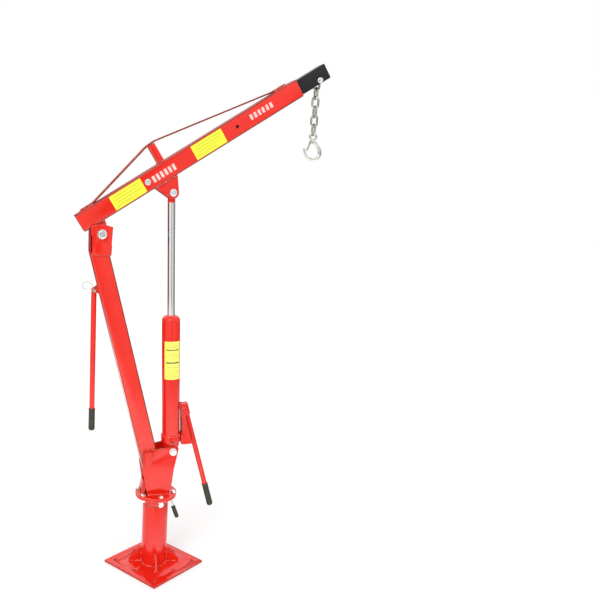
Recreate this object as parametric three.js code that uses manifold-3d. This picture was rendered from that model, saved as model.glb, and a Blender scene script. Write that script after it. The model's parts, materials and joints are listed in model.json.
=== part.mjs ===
// An engine hoist crane of the pickup-bed kind: a bolted-down base with a swivelling mast, a lifting boom
// with a sliding extension, a hand-pumped long ram, and a chain with a load hook.
// Millimetres, +Z up, the boom's plane is XZ and the boom reaches towards +X. The origin is the middle of
// the base plate's underside, on the swivel's axis.
import * as THREE from "three";
import { mergeVertices } from "three/addons/utils/BufferGeometryUtils.js";
import Module from "manifold-3d";

const wasm = await Module();
wasm.setup();

// ---------------------------------------------------------------- driving dimensions
const GAP = 0.3; // between pieces that touch
const CUT = 1; // how far a cutting tool runs past the face it cuts

// base
const PLATE_SIDE = 280;
const PLATE_THICK = 8;
const PLATE_TURN = 34; // degrees between the plate's sides and the boom's plane
const PLATE_HOLE_OFFSET = 109;
const PLATE_HOLE_RADIUS = 7;
const POST_RADIUS = 50.5;
const POST_BORE = 44.5;
const POST_TOP = 256;
const GUSSET_REACH = 101;
const GUSSET_RISE = 57;
const GUSSET_THICK = 8;
const SPIGOT_RADIUS = 44.1;
const SPIGOT_BORE = 36;
const SPIGOT_DEPTH = 106; // length held inside the post
const WASHER_THICK = 2.2;

// swivel head
const COLLAR_BOTTOM = POST_TOP + WASHER_THICK + 2 * GAP;
const COLLAR_TOP = 290;
const FLANGE_RADIUS = 81.5;
const FLANGE_THICK = 7.7;
const FLANGE_BOLT_CIRCLE = 70;
const FLANGE_BOLT_COUNT = 6;
const FLANGE_BOLT_START = -85; // degrees
const LOWER_FLANGE_BOTTOM = COLLAR_TOP + GAP;
const UPPER_FLANGE_BOTTOM = LOWER_FLANGE_BOTTOM + FLANGE_THICK + GAP;
const HEAD_TOP = UPPER_FLANGE_BOTTOM + FLANGE_THICK;
const LOCK_HEIGHT = 268;
const LOCK_ANGLE = -15; // degrees
const GUSSET_TURNS = [45, 135, 231, 315]; // degrees from the plate's sides; one sits off its diagonal
const COLLAR_BOLT_ANGLE = -80; // degrees

// mast and boom tubes
const TUBE_HALF = 34;
const TUBE_WALL = 4;
const SIDE_PLATE_NEAR = TUBE_HALF + 1;
const SIDE_PLATE_FAR = SIDE_PLATE_NEAR + 6;
const MAST_LEAN = 14.66; // degrees back from the vertical
const MAST_FOOT_X = 2.6;
const MAST_TOP = 1278;
const BOOM_RISE = 33.2; // degrees above level
const PIVOT = { x: -239, z: 1318.3 };
const RAM_FOOT = { x: 54, z: 480 };
const HEAD_WEB_X = -279; // the head bracket's web, on the side away from the boom
const HEAD_WEB_FROM = 1250;
const HEAD_WEB_TO = 1314;

// boom, measured along and square to it from the mast pivot
const BOOM_REAR = -46;
const BOOM_FRONT = 923;
const BOOM_AXIS = 71.5;
const BOOM_TOP = BOOM_AXIS + TUBE_HALF;
const BOOM_UNDER = BOOM_AXIS - TUBE_HALF;
const LOCK_BOLT_AT = 242;
const SPARE_HOLE_AT = 637.5;
const RAM_PIN = { s: 304.6, t: -10.7 };
const KING_POST_AT = 326.5;
const KING_POST_TOP = 177;
const STRAP_HALF_WIDTH = 17;
const STRAP_THICK = 6;
const EXTENSION_HALF = 29;
const EXTENSION_REAR = 226;
const EXTENSION_FRONT = 1054.5;
const CHAIN_BOLT = { s: 1010, t: BOOM_AXIS - 17 };

// ram, measured along and square to it from its foot bolt
const PIVOT_BOLT_RADIUS = 10;
const RAM_BOLT_RADIUS = 8;
const RUNNING_FIT = 0.3;
const FOOT_BORE = 19; // large, see the report: this pivot is the one left open
const CYLINDER_RADIUS = 35;
const CYLINDER_BORE = 30;
const CYLINDER_FROM = 58.3;
const CYLINDER_TO = 512;
const BASE_RADIUS = 39;
const BASE_FROM = 10;
const BASE_SHOULDER = 32; // below it the base fits between the foot bracket's sides
const VALVE = { x: -3, z: 44 };
const ROD_RADIUS = 14;
const PISTON_FROM = 405;
const PISTON_TO = 435;
const ROD_EYE_RADIUS = 20;
const ROD_STEM_RADIUS = 14.3;

// pump, in the ram's own directions
const LEVER_PIVOT = { x: 46, z: 172 };
const LEVER_PIN_RADIUS = 4.5;
const HANDLE_LEAN = 14.4; // degrees from the ram's axis
const HANDLE_ORIGIN = { x: 61.5, z: 150 }; // a point on the handle's axis
const HANDLE_RADIUS = 10;
const GRIP_RADIUS = 12.5;
const PUMP_PLATE_NEAR = 17;
const PUMP_PLATE_FAR = 22;
const PLUNGER_X = 50;
const PLUNGER_RADIUS = 6;

// swing handle on the mast
const SWING_PIN = { x: -260, z: 1111 };
const SWING_LENGTH = 541;

// chain and hook
const WIRE = 4; // radius of the chain's wire
const LINK_BEND = 12; // radius of a link's round ends, along the wire's middle
const LINK_STRAIGHT = 9; // half of the straight length between them
const LINK_COUNT = 6;
const CHAIN_BOLT_RADIUS = 6;
const EYE_RADIUS = 13;
const EYE_WIRE = 4.5;
const HOOK_SECTION = 6.5;

// ---------------------------------------------------------------- tools
const rad = THREE.MathUtils.degToRad;

function solid(shape) {
  if (!shape.isBufferGeometry) return shape;
  const bare = shape.clone();
  bare.deleteAttribute("normal");
  bare.deleteAttribute("uv");
  const merged = mergeVertices(bare, 1e-4);
  const mesh = new wasm.Mesh({
    numProp: 3,
    vertProperties: merged.attributes.position.array,
    triVerts: new Uint32Array(merged.index.array),
  });
  return new wasm.Manifold(mesh);
}

function join(first, ...others) {
  return others.reduce((sum, other) => sum.add(solid(other)), solid(first));
}

function cut(body, ...tools) {
  return tools.reduce((rest, tool) => rest.subtract(solid(tool)), solid(body));
}

function geometryOf(shape) {
  if (shape.isBufferGeometry) return shape;
  const mesh = shape.getMesh();
  const geometry = new THREE.BufferGeometry();
  const corners = new Float32Array(mesh.vertProperties);
  geometry.setAttribute("position", new THREE.BufferAttribute(corners, 3));
  geometry.setIndex(new THREE.BufferAttribute(new Uint32Array(mesh.triVerts), 1));
  const faceted = geometry.toNonIndexed();
  faceted.computeVertexNormals();
  return faceted;
}

function block(x0, x1, y0, y1, z0, z1) {
  const box = new THREE.BoxGeometry(x1 - x0, y1 - y0, z1 - z0);
  return box.translate((x0 + x1) / 2, (y0 + y1) / 2, (z0 + z1) / 2);
}

// A cylinder along Y, at x and z.
function crossPin(x, z, radius, y0, y1, sides = 24) {
  const pin = new THREE.CylinderGeometry(radius, radius, y1 - y0, sides);
  return pin.translate(x, (y0 + y1) / 2, z);
}

// A cylinder along Z, at x and y.
function upright(x, y, radius, z0, z1, sides = 24) {
  const pin = new THREE.CylinderGeometry(radius, radius, z1 - z0, sides);
  return pin.rotateX(Math.PI / 2).translate(x, y, (z0 + z1) / 2);
}

// A cylinder along X, at y and z.
function lengthwise(y, z, radius, x0, x1, sides = 20) {
  const pin = new THREE.CylinderGeometry(radius, radius, x1 - x0, sides);
  return pin.rotateZ(Math.PI / 2).translate((x0 + x1) / 2, y, z);
}

// A solid turned about Z. The profile lists [radius, height] with the outside going up.
function turned(profile, sides = 32) {
  const points = profile.map(([r, z]) => new THREE.Vector2(r, z));
  if (profile[0][0] > 0) points.push(points[0].clone());
  return new THREE.LatheGeometry(points, sides).rotateX(Math.PI / 2);
}

function ring(inner, outer, z0, z1, sides = 32) {
  return turned([[inner, z0], [outer, z0], [outer, z1], [inner, z1]], sides);
}

// An outline in XZ with a thickness along Y. The outline is a THREE.Shape or a list of [x, z].
function plate(outline, y0, y1) {
  const isShape = outline instanceof THREE.Shape;
  const shape = isShape ? outline : new THREE.Shape(outline.map(([x, z]) => new THREE.Vector2(x, z)));
  const options = { depth: y1 - y0, bevelEnabled: false, curveSegments: 6 };
  const made = new THREE.ExtrudeGeometry(shape, options);
  return made.rotateX(Math.PI / 2).translate(0, y1, 0);
}

// The same outline on both sides of the boom's plane.
function plates(outline, near, far) {
  return [plate(outline, -far, -near), plate(outline, near, far)];
}

function sweep(points, radius, sides, steps) {
  const path = new THREE.CatmullRomCurve3(points.map(([x, z]) => new THREE.Vector3(x, 0, z)));
  const section = new THREE.Shape().absarc(0, 0, radius, 0, 2 * Math.PI, false);
  const options = { extrudePath: path, steps, curveSegments: sides / 2, bevelEnabled: false };
  return new THREE.ExtrudeGeometry(section, options);
}

// A bolt along Z with its head on top, a nut below and a washer under each, as one solid.
function boltWithNut({ radius, hex, washer, bottom, top, head = radius * 1.3, washerThick = 2, sides = 12 }) {
  const nutFace = bottom - GAP - washerThick;
  const headFace = top + GAP + washerThick;
  return join(
    upright(0, 0, radius, nutFace - head - 3, headFace + head / 2, sides),
    upright(0, 0, washer, nutFace, bottom - GAP, sides),
    upright(0, 0, washer, top + GAP, headFace, sides),
    upright(0, 0, hex, nutFace - head, nutFace + 0.5, 6),
    upright(0, 0, hex, headFace - 0.5, headFace + head, 6),
  );
}

// ---------------------------------------------------------------- materials
const material = (color, roughness, metalness) => () =>
  new THREE.MeshStandardMaterial({ color, roughness, metalness });
const redPaint = material(0xd8231c, 0.3, 0.1);
const blackPaint = material(0x1d1f24, 0.45, 0.1);
const zinc = material(0xc9ccd0, 0.35, 0.9);
const chrome = material(0xe4e6e8, 0.12, 1.0);
const steel = material(0x8b8f94, 0.4, 0.9);
const rubber = material(0x34362f, 0.8, 0.0);
const bronze = material(0x8a6a3a, 0.5, 0.8);

const crane = new THREE.Group();

function addGroup(parent, x, z, turnY = 0) {
  const group = new THREE.Group();
  group.position.set(x, 0, z);
  group.rotation.y = turnY;
  parent.add(group);
  return group;
}

function addPiece(parent, name, shape, finish) {
  const mesh = new THREE.Mesh(geometryOf(shape), finish());
  mesh.name = name;
  parent.add(mesh);
  return mesh;
}

// A bolt across the boom's plane, its head towards -Y.
function addCrossBolt(parent, name, x, z, half, sizes) {
  const bolt = addPiece(parent, name, boltWithNut({ ...sizes, bottom: -half, top: half }), zinc);
  bolt.position.set(x, 0, z);
  bolt.rotation.x = Math.PI / 2;
}

// ---------------------------------------------------------------- base
function buildBase() {
  const base = new THREE.Group();
  base.rotation.z = rad(PLATE_TURN);
  crane.add(base);
  const half = PLATE_SIDE / 2;
  const holes = [];
  for (const i of [-1, 0, 1]) {
    for (const j of [-1, 0, 1]) {
      if (i === 0 && j === 0) continue;
      const [x, y] = [i * PLATE_HOLE_OFFSET, j * PLATE_HOLE_OFFSET];
      holes.push(upright(x, y, PLATE_HOLE_RADIUS, -CUT, PLATE_THICK + CUT, 16));
    }
  }
  addPiece(base, "base_plate", cut(block(-half, half, -half, half, 0, PLATE_THICK), ...holes), redPaint);
  const floor = PLATE_THICK + GAP;
  addPiece(base, "base_post", ring(POST_BORE, POST_RADIUS, floor, POST_TOP), redPaint);
  const start = POST_RADIUS + GAP;
  const outline = [
    [start, floor],
    [GUSSET_REACH, floor],
    [GUSSET_REACH, floor + 7],
    [start + 8, floor + GUSSET_RISE],
    [start, floor + GUSSET_RISE],
  ];
  for (let i = 0; i < 4; i++) {
    const gusset = plate(outline, -GUSSET_THICK / 2, GUSSET_THICK / 2);
    addPiece(base, `base_gusset_${i + 1}`, gusset, redPaint).rotation.z = rad(GUSSET_TURNS[i]);
  }
  const spigot = ring(SPIGOT_BORE, SPIGOT_RADIUS, POST_TOP - SPIGOT_DEPTH, UPPER_FLANGE_BOTTOM - 2);
  addPiece(base, "pivot_spigot", spigot, steel);
  const washerFrom = POST_TOP + GAP;
  const washer = ring(SPIGOT_RADIUS + GAP, POST_RADIUS - 1, washerFrom, washerFrom + WASHER_THICK);
  addPiece(base, "thrust_washer", washer, bronze);
}

// ---------------------------------------------------------------- swivel head and mast
function flangeHoles(z0, z1) {
  return Array.from({ length: FLANGE_BOLT_COUNT }, (_, i) => {
    const angle = rad(FLANGE_BOLT_START + (360 * i) / FLANGE_BOLT_COUNT);
    const [x, y] = [FLANGE_BOLT_CIRCLE * Math.cos(angle), FLANGE_BOLT_CIRCLE * Math.sin(angle)];
    return upright(x, y, 5.4, z0 - CUT, z1 + CUT, 12);
  });
}

function buildSwivelHead() {
  const sleeve = ring(POST_BORE + 0.1, POST_RADIUS, COLLAR_BOTTOM, COLLAR_TOP);
  const lockHole = lengthwise(0, LOCK_HEIGHT, 5.4, POST_BORE - 5, POST_RADIUS + 5, 20);
  const boltHole = lengthwise(0, LOCK_HEIGHT + 1, 6.3, POST_BORE - 5, POST_RADIUS + 5, 20);
  const collar = cut(
    sleeve,
    lockHole.rotateZ(rad(LOCK_ANGLE)),
    boltHole.rotateZ(rad(COLLAR_BOLT_ANGLE)),
  );
  addPiece(crane, "swivel_collar", collar, redPaint);
  const lowerTop = LOWER_FLANGE_BOTTOM + FLANGE_THICK;
  const lower = ring(POST_BORE + 0.1, FLANGE_RADIUS, LOWER_FLANGE_BOTTOM, lowerTop);
  const lowerCut = cut(lower, ...flangeHoles(LOWER_FLANGE_BOTTOM, lowerTop));
  addPiece(crane, "lower_flange", lowerCut, redPaint);
  const upper = ring(15, FLANGE_RADIUS, UPPER_FLANGE_BOTTOM, HEAD_TOP);
  const upperCut = cut(upper, ...flangeHoles(UPPER_FLANGE_BOTTOM, HEAD_TOP));
  addPiece(crane, "upper_flange", upperCut, redPaint);
  const sizes = { radius: 5, hex: 9.4, washer: 10.2, bottom: LOWER_FLANGE_BOTTOM, top: HEAD_TOP };
  for (let i = 0; i < FLANGE_BOLT_COUNT; i++) {
    const angle = rad(FLANGE_BOLT_START + (360 * i) / FLANGE_BOLT_COUNT);
    const bolt = addPiece(crane, `flange_bolt_${i + 1}`, boltWithNut(sizes), zinc);
    bolt.position.set(FLANGE_BOLT_CIRCLE * Math.cos(angle), FLANGE_BOLT_CIRCLE * Math.sin(angle), 0);
  }
  const screw = join(
    lengthwise(0, 0, 5.8, POST_BORE + 1, POST_RADIUS + 5, 24),
    lengthwise(0, 0, 11, POST_RADIUS + 1, POST_RADIUS + 9, 6),
  );
  const collarBolt = addPiece(crane, "collar_bolt", screw, zinc);
  collarBolt.position.z = LOCK_HEIGHT + 1;
  collarBolt.rotation.z = rad(COLLAR_BOLT_ANGLE);
}

// The middle of the mast tube at a height.
function mastX(z) {
  return MAST_FOOT_X - Math.tan(rad(MAST_LEAN)) * (z - HEAD_TOP);
}

function leaning(geometry) {
  return geometry.rotateY(-rad(MAST_LEAN)).translate(MAST_FOOT_X, 0, HEAD_TOP);
}

function buildMast() {
  const inner = TUBE_HALF - TUBE_WALL;
  const outside = leaning(block(-TUBE_HALF, TUBE_HALF, -TUBE_HALF, TUBE_HALF, -60, 1100));
  const bore = leaning(block(-inner, inner, -inner, inner, -80, 1120));
  const below = block(-200, 200, -60, 60, HEAD_TOP - 200, HEAD_TOP + GAP);
  const above = block(-500, 100, -60, 60, MAST_TOP, MAST_TOP + 300);
  const notch = block(-400, HEAD_WEB_X + 6 + GAP, -60, 60, HEAD_WEB_FROM - 2, MAST_TOP + CUT);
  addPiece(crane, "mast_tube", cut(outside, bore, below, above, notch), redPaint);
}

// The channel at the mast's top that carries the boom's pivot bolt.
function buildMastHead() {
  const outline = [
    [-271, 1242],
    [-205.5, 1242],
    [-199, 1345],
    [-230, 1352],
    [HEAD_WEB_X, 1352],
    [HEAD_WEB_X, HEAD_WEB_FROM],
  ];
  const far = SIDE_PLATE_FAR;
  const web = block(HEAD_WEB_X, HEAD_WEB_X + 6, -far, far, HEAD_WEB_FROM, HEAD_WEB_TO);
  const bore = crossPin(PIVOT.x, PIVOT.z, PIVOT_BOLT_RADIUS + GAP, -60, 60);
  const bracket = cut(join(web, ...plates(outline, SIDE_PLATE_NEAR, far)), bore);
  addPiece(crane, "mast_head_bracket", bracket, redPaint);
  const sizes = { radius: PIVOT_BOLT_RADIUS, hex: 15, washer: 17.5, washerThick: 3 };
  addCrossBolt(crane, "mast_pivot_bolt", PIVOT.x, PIVOT.z, SIDE_PLATE_FAR, sizes);
}

// The channel at the mast's foot that carries the ram's foot bolt.
function buildFootBracket() {
  const floor = HEAD_TOP + GAP;
  const side = new THREE.Shape();
  side.moveTo(-42, floor);
  side.lineTo(44, floor);
  side.lineTo(52, floor + 26);
  side.lineTo(60.5, 405);
  side.lineTo(RAM_FOOT.x + 20.5, RAM_FOOT.z - 5);
  side.absarc(RAM_FOOT.x, RAM_FOOT.z, 21, rad(-14), rad(110), false);
  side.lineTo(30, 499);
  side.lineTo(-9, 491);
  side.lineTo(-63, 489);
  side.lineTo(-65, 425);
  side.lineTo(-50, floor + 30);
  side.closePath();
  const heel = [
    [-61, floor + 11],
    [-55, floor + 11],
    [-47.5, floor + 44],
    [-53, floor + 44],
  ];
  const bore = crossPin(RAM_FOOT.x, RAM_FOOT.z, RAM_BOLT_RADIUS + GAP, -60, 60);
  const sides = plates(side, SIDE_PLATE_NEAR, SIDE_PLATE_FAR);
  const bracket = cut(join(plate(heel, -SIDE_PLATE_FAR, SIDE_PLATE_FAR), ...sides), bore);
  addPiece(crane, "foot_bracket", bracket, redPaint);
  const sizes = { radius: RAM_BOLT_RADIUS, hex: 13, washer: 14.5, washerThick: 2.5 };
  addCrossBolt(crane, "ram_foot_bolt", RAM_FOOT.x, RAM_FOOT.z, SIDE_PLATE_FAR, sizes);
}

// A turned handle or grip along Z, rounded at its lower end.
function roundEnded(radius, bottom, top, bore = 0, boreTo = top) {
  const corner = Math.min(4, radius / 2);
  const outside = [[0, bottom], [radius - corner, bottom], [radius, bottom + corner], [radius, top]];
  const inside = bore ? [[bore, top], [bore, boreTo], [0, boreTo]] : [[0, top]];
  return turned([...outside, ...inside], 24);
}

function buildSwingHandle() {
  const faceX = (z) => mastX(z) - TUBE_HALF / Math.cos(rad(MAST_LEAN)) - GAP;
  const [low, high] = [SWING_PIN.z - 16, SWING_PIN.z + 16];
  const web = [
    [faceX(low), low],
    [faceX(high), high],
    [faceX(high) - 4, high],
    [faceX(low) - 4, low],
  ];
  const ear = new THREE.Shape();
  ear.moveTo(faceX(low + 4) - 1, low + 4);
  ear.lineTo(faceX(high) - 1, high);
  ear.absarc(SWING_PIN.x, SWING_PIN.z, 8, rad(80), rad(260), false);
  ear.closePath();
  const bore = crossPin(SWING_PIN.x, SWING_PIN.z, 4 + GAP, -30, 30, 20);
  const lug = cut(join(plate(web, -17, 17), ...plates(ear, 12.5, 17)), bore);
  addPiece(crane, "handle_lug", lug, redPaint);
  const pin = join(crossPin(0, 0, 4, -25, 18, 20), crossPin(0, 0, 7, 17 + GAP, 20, 20));
  addPiece(crane, "handle_pin", pin, zinc).position.set(SWING_PIN.x, 0, SWING_PIN.z);

  const handle = addGroup(crane, SWING_PIN.x, SWING_PIN.z);
  const gripTop = 86 - SWING_LENGTH;
  const tube = cut(
    ring(8, HANDLE_RADIUS, 12 - SWING_LENGTH, 6, 24),
    crossPin(0, 0, 4 + RUNNING_FIT, -20, 20, 20),
  );
  addPiece(handle, "swing_handle", tube, redPaint);
  const sleeve = roundEnded(GRIP_RADIUS, -SWING_LENGTH, gripTop, HANDLE_RADIUS + GAP, 11 - SWING_LENGTH);
  addPiece(handle, "swing_handle_grip", sleeve, rubber);
}

function buildLockLever() {
  const lever = addGroup(crane, 0, LOCK_HEIGHT);
  lever.rotation.z = rad(LOCK_ANGLE);
  const bend = [[45.5, 0], [56, 0], [62.5, -4], [67, -14], [75, -36], [82, -54]];
  addPiece(lever, "lock_lever", sweep(bend, 4, 8, 12), zinc);
  const lean = Math.atan2(17, 44);
  const sleeve = ring(4 + GAP, 8.5, -24, 24, 20);
  const closed = join(sleeve, upright(0, 0, 8.5, -26, -23, 20));
  const grip = addPiece(lever, "lock_lever_grip", closed, rubber);
  grip.position.set(79.2, 0, -47);
  grip.rotation.y = -lean;
}

// ---------------------------------------------------------------- boom
// A flat strip of one thickness along a line of [s, t] points.
function strip(points, thickness) {
  const half = thickness / 2;
  const side = (sign) =>
    points.map(([x, z], i) => {
      const [before, after] = [points[Math.max(i - 1, 0)], points[Math.min(i + 1, points.length - 1)]];
      const along = new THREE.Vector2(after[0] - before[0], after[1] - before[1]).normalize();
      return [x - sign * half * along.y, z + sign * half * along.x];
    });
  return [...side(-1), ...side(1).reverse()];
}

// A channel under the boom: a flat web against it and two ears that carry a cross bolt.
function earBracket({ s0, s1, s, t, near, far, round, bore }) {
  const roof = BOOM_UNDER - GAP;
  const ear = new THREE.Shape();
  ear.moveTo(s0, roof);
  ear.lineTo(s0, roof - 7);
  ear.absarc(s, t, round, rad(205), rad(335), false);
  ear.lineTo(s1, roof - 7);
  ear.lineTo(s1, roof);
  ear.closePath();
  const web = block(s0, s1, -far, far, roof - 6, roof);
  return cut(join(web, ...plates(ear, near, far)), crossPin(s, t, bore, -60, 60));
}

function buildBoom() {
  const boom = addGroup(crane, PIVOT.x, PIVOT.z, -rad(BOOM_RISE));
  const inner = TUBE_HALF - TUBE_WALL;
  const tube = cut(
    block(BOOM_REAR, BOOM_FRONT, -TUBE_HALF, TUBE_HALF, BOOM_UNDER, BOOM_TOP),
    block(BOOM_REAR - CUT, BOOM_FRONT + CUT, -inner, inner, BOOM_AXIS - inner, BOOM_AXIS + inner),
    crossPin(LOCK_BOLT_AT, BOOM_AXIS, 6 + GAP, -60, 60, 24),
    crossPin(SPARE_HOLE_AT, BOOM_AXIS, 6.5, -60, 60, 24),
  );
  addPiece(boom, "boom_tube", tube, redPaint);
  const pivotEars = { s0: -22, s1: 36, s: 0, t: 0, near: 26, far: 33.5, round: 24 };
  const pivotBore = PIVOT_BOLT_RADIUS + RUNNING_FIT;
  addPiece(boom, "boom_pivot_bracket", earBracket({ ...pivotEars, bore: pivotBore }), redPaint);
  const ramEars = { s0: 262, s1: 350, ...RAM_PIN, near: 22, far: 30, round: 22 };
  addPiece(boom, "ram_ear_bracket", earBracket({ ...ramEars, bore: RAM_BOLT_RADIUS + GAP }), redPaint);
  const [postFrom, postTo] = [KING_POST_AT - 12.5, KING_POST_AT + 12.5];
  const kingPost = block(postFrom, postTo, -17, 17, BOOM_TOP + GAP, KING_POST_TOP);
  addPiece(boom, "king_post", kingPost, redPaint);
  const flat = BOOM_TOP + GAP + STRAP_THICK / 2;
  const top = KING_POST_TOP + GAP + STRAP_THICK / 2;
  const rear = [[-18, flat], [34, flat]];
  const peak = [[309, top + 0.5], [344, top + 2.5]];
  const front = [[830, flat + 0.5], [886, flat + 0.5]];
  const line = [...rear, ...peak, ...front];
  const strap = plate(strip(line, STRAP_THICK), -STRAP_HALF_WIDTH, STRAP_HALF_WIDTH);
  addPiece(boom, "tie_strap", strap, redPaint);
  const small = { radius: 6, hex: 10, washer: 11.5 };
  addCrossBolt(boom, "boom_lock_bolt", LOCK_BOLT_AT, BOOM_AXIS, TUBE_HALF, small);
  const ramBolt = { radius: RAM_BOLT_RADIUS, hex: 12.5, washer: 14, washerThick: 2.5 };
  addCrossBolt(boom, "ram_top_bolt", RAM_PIN.s, RAM_PIN.t, ramEars.far, ramBolt);
  buildExtension(boom);
}

function buildExtension(boom) {
  const outer = EXTENSION_HALF;
  const inner = EXTENSION_HALF - TUBE_WALL;
  const slotEnd = LOCK_BOLT_AT + 6.5;
  const slot = join(
    block(EXTENSION_REAR - CUT, slotEnd - 6.5, -60, 60, BOOM_AXIS - 6.7, BOOM_AXIS + 6.7),
    crossPin(LOCK_BOLT_AT, BOOM_AXIS, 6.7, -60, 60, 24),
  );
  const tube = cut(
    block(EXTENSION_REAR, EXTENSION_FRONT, -outer, outer, BOOM_AXIS - outer, BOOM_AXIS + outer),
    block(EXTENSION_REAR - CUT, EXTENSION_FRONT + CUT, -inner, inner, BOOM_AXIS - inner, BOOM_AXIS + inner),
    slot,
    crossPin(CHAIN_BOLT.s, CHAIN_BOLT.t, CHAIN_BOLT_RADIUS + GAP, -60, 60, 24),
    block(CHAIN_BOLT.s - 40, CHAIN_BOLT.s + 34, -7, 7, BOOM_AXIS - outer - CUT, BOOM_AXIS - inner + CUT),
  );
  addPiece(boom, "boom_extension", tube, blackPaint);
  const sizes = { radius: CHAIN_BOLT_RADIUS, hex: 9.5, washer: 10.5 };
  addCrossBolt(boom, "chain_bolt", CHAIN_BOLT.s, CHAIN_BOLT.t, EXTENSION_HALF, sizes);
}

// ---------------------------------------------------------------- ram and pump
function ramPose() {
  const [c, s] = [Math.cos(rad(BOOM_RISE)), Math.sin(rad(BOOM_RISE))];
  const topX = PIVOT.x + RAM_PIN.s * c - RAM_PIN.t * s;
  const topZ = PIVOT.z + RAM_PIN.s * s + RAM_PIN.t * c;
  const [dx, dz] = [topX - RAM_FOOT.x, topZ - RAM_FOOT.z];
  return { turn: Math.atan2(dx, dz), length: Math.hypot(dx, dz) };
}

function buildRam() {
  const { turn, length } = ramPose();
  const ram = addGroup(crane, RAM_FOOT.x, RAM_FOOT.z, turn);
  const plug = CYLINDER_BORE - GAP;
  const body = turned([
    [0, BASE_FROM],
    [TUBE_HALF - 4, BASE_FROM],
    [TUBE_HALF, BASE_FROM + 4],
    [TUBE_HALF, BASE_SHOULDER],
    [BASE_RADIUS, BASE_SHOULDER],
    [BASE_RADIUS, CYLINDER_FROM - GAP],
    [plug, CYLINDER_FROM - GAP],
    [plug, CYLINDER_FROM + 5],
    [0, CYLINDER_FROM + 5],
  ]);
  const lug = join(crossPin(0, 0, FOOT_BORE + 9, -20, 20, 40), block(-26, 26, -20, 20, 5, BASE_FROM + 5));
  const base = cut(
    join(body, lug),
    crossPin(0, 0, FOOT_BORE, -60, 60, 40),
    crossPin(VALVE.x, VALVE.z, 4.4, -60, -28, 16),
  );
  addPiece(ram, "ram_base", base, redPaint);
  addPiece(ram, "ram_cylinder", ring(CYLINDER_BORE, CYLINDER_RADIUS, CYLINDER_FROM, CYLINDER_TO), redPaint);
  const rodBore = ROD_RADIUS + RUNNING_FIT;
  const gland = turned([
    [rodBore, CYLINDER_TO - 14],
    [plug, CYLINDER_TO - 14],
    [plug, CYLINDER_TO + GAP],
    [CYLINDER_RADIUS, CYLINDER_TO + GAP],
    [CYLINDER_RADIUS, CYLINDER_TO + 6],
    [CYLINDER_RADIUS - 3, CYLINDER_TO + 13],
    [CYLINDER_RADIUS - 9, CYLINDER_TO + 19],
    [CYLINDER_RADIUS - 16, CYLINDER_TO + 22],
    [rodBore, CYLINDER_TO + 22],
  ]);
  addPiece(ram, "ram_gland", gland, redPaint);
  addPiece(ram, "release_valve", valveKnob(), redPaint).position.set(VALVE.x, 0, VALVE.z);

  const eyeFoot = length - ROD_EYE_RADIUS - 16;
  const piston = turned([
    [0, PISTON_FROM],
    [plug, PISTON_FROM],
    [plug, PISTON_FROM + 11],
    [plug - 3, PISTON_FROM + 12],
    [plug - 3, PISTON_TO - 12],
    [plug, PISTON_TO - 11],
    [plug, PISTON_TO],
    [0, PISTON_TO],
  ]);
  addPiece(ram, "ram_piston", piston, steel);
  addPiece(ram, "ram_rod", upright(0, 0, ROD_RADIUS, PISTON_TO + GAP, eyeFoot - GAP, 40), chrome);
  const eye = cut(
    join(
      upright(0, 0, ROD_STEM_RADIUS, eyeFoot, length - 8, 32),
      crossPin(0, length, ROD_EYE_RADIUS, -20, 20, 32),
    ),
    crossPin(0, length, RAM_BOLT_RADIUS + RUNNING_FIT, -60, 60, 32),
  );
  addPiece(ram, "rod_eye", eye, redPaint);
  buildPump(ram);
}

function valveKnob() {
  return join(
    crossPin(0, 0, 4, -54, -30, 16),
    crossPin(0, 0, 9, -52, -BASE_RADIUS - 1, 12),
    block(-2, 2, -58, -50, -7, 7),
  );
}

function buildPump(ram) {
  const side = new THREE.Shape();
  side.moveTo(BASE_RADIUS + 1, 20);
  side.lineTo(84, 20);
  side.lineTo(58, 122);
  side.absarc(LEVER_PIVOT.x, LEVER_PIVOT.z, 9, rad(0), rad(180), false);
  side.lineTo(42, 150);
  side.lineTo(43, 64);
  side.lineTo(BASE_RADIUS + 1, 60);
  side.closePath();
  const body = cut(
    join(
      block(BASE_RADIUS + 1, 68, -PUMP_PLATE_NEAR, PUMP_PLATE_NEAR, 20, 56),
      ...plates(side, PUMP_PLATE_NEAR - 0.01, PUMP_PLATE_FAR),
    ),
    upright(PLUNGER_X, 0, PLUNGER_RADIUS + RUNNING_FIT, 24, 60, 24),
    crossPin(LEVER_PIVOT.x, LEVER_PIVOT.z, LEVER_PIN_RADIUS + GAP, -60, 60, 20),
  );
  addPiece(ram, "pump_body", body, redPaint);
  const pin = join(
    crossPin(0, 0, LEVER_PIN_RADIUS, -PUMP_PLATE_FAR - 2, PUMP_PLATE_FAR + 2, 20),
    crossPin(0, 0, 7.5, -PUMP_PLATE_FAR - 4, -PUMP_PLATE_FAR - GAP, 20),
    crossPin(0, 0, 7.5, PUMP_PLATE_FAR + GAP, PUMP_PLATE_FAR + 4, 20),
  );
  addPiece(ram, "pump_lever_pin", pin, redPaint).position.set(LEVER_PIVOT.x, 0, LEVER_PIVOT.z);
  const plunger = join(
    upright(PLUNGER_X, 0, PLUNGER_RADIUS, 28, 108, 24),
    upright(PLUNGER_X, 0, 8.5, 105, 111, 24),
  );
  addPiece(ram, "pump_plunger", plunger, steel);
  buildPumpLever(ram);
}

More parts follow.
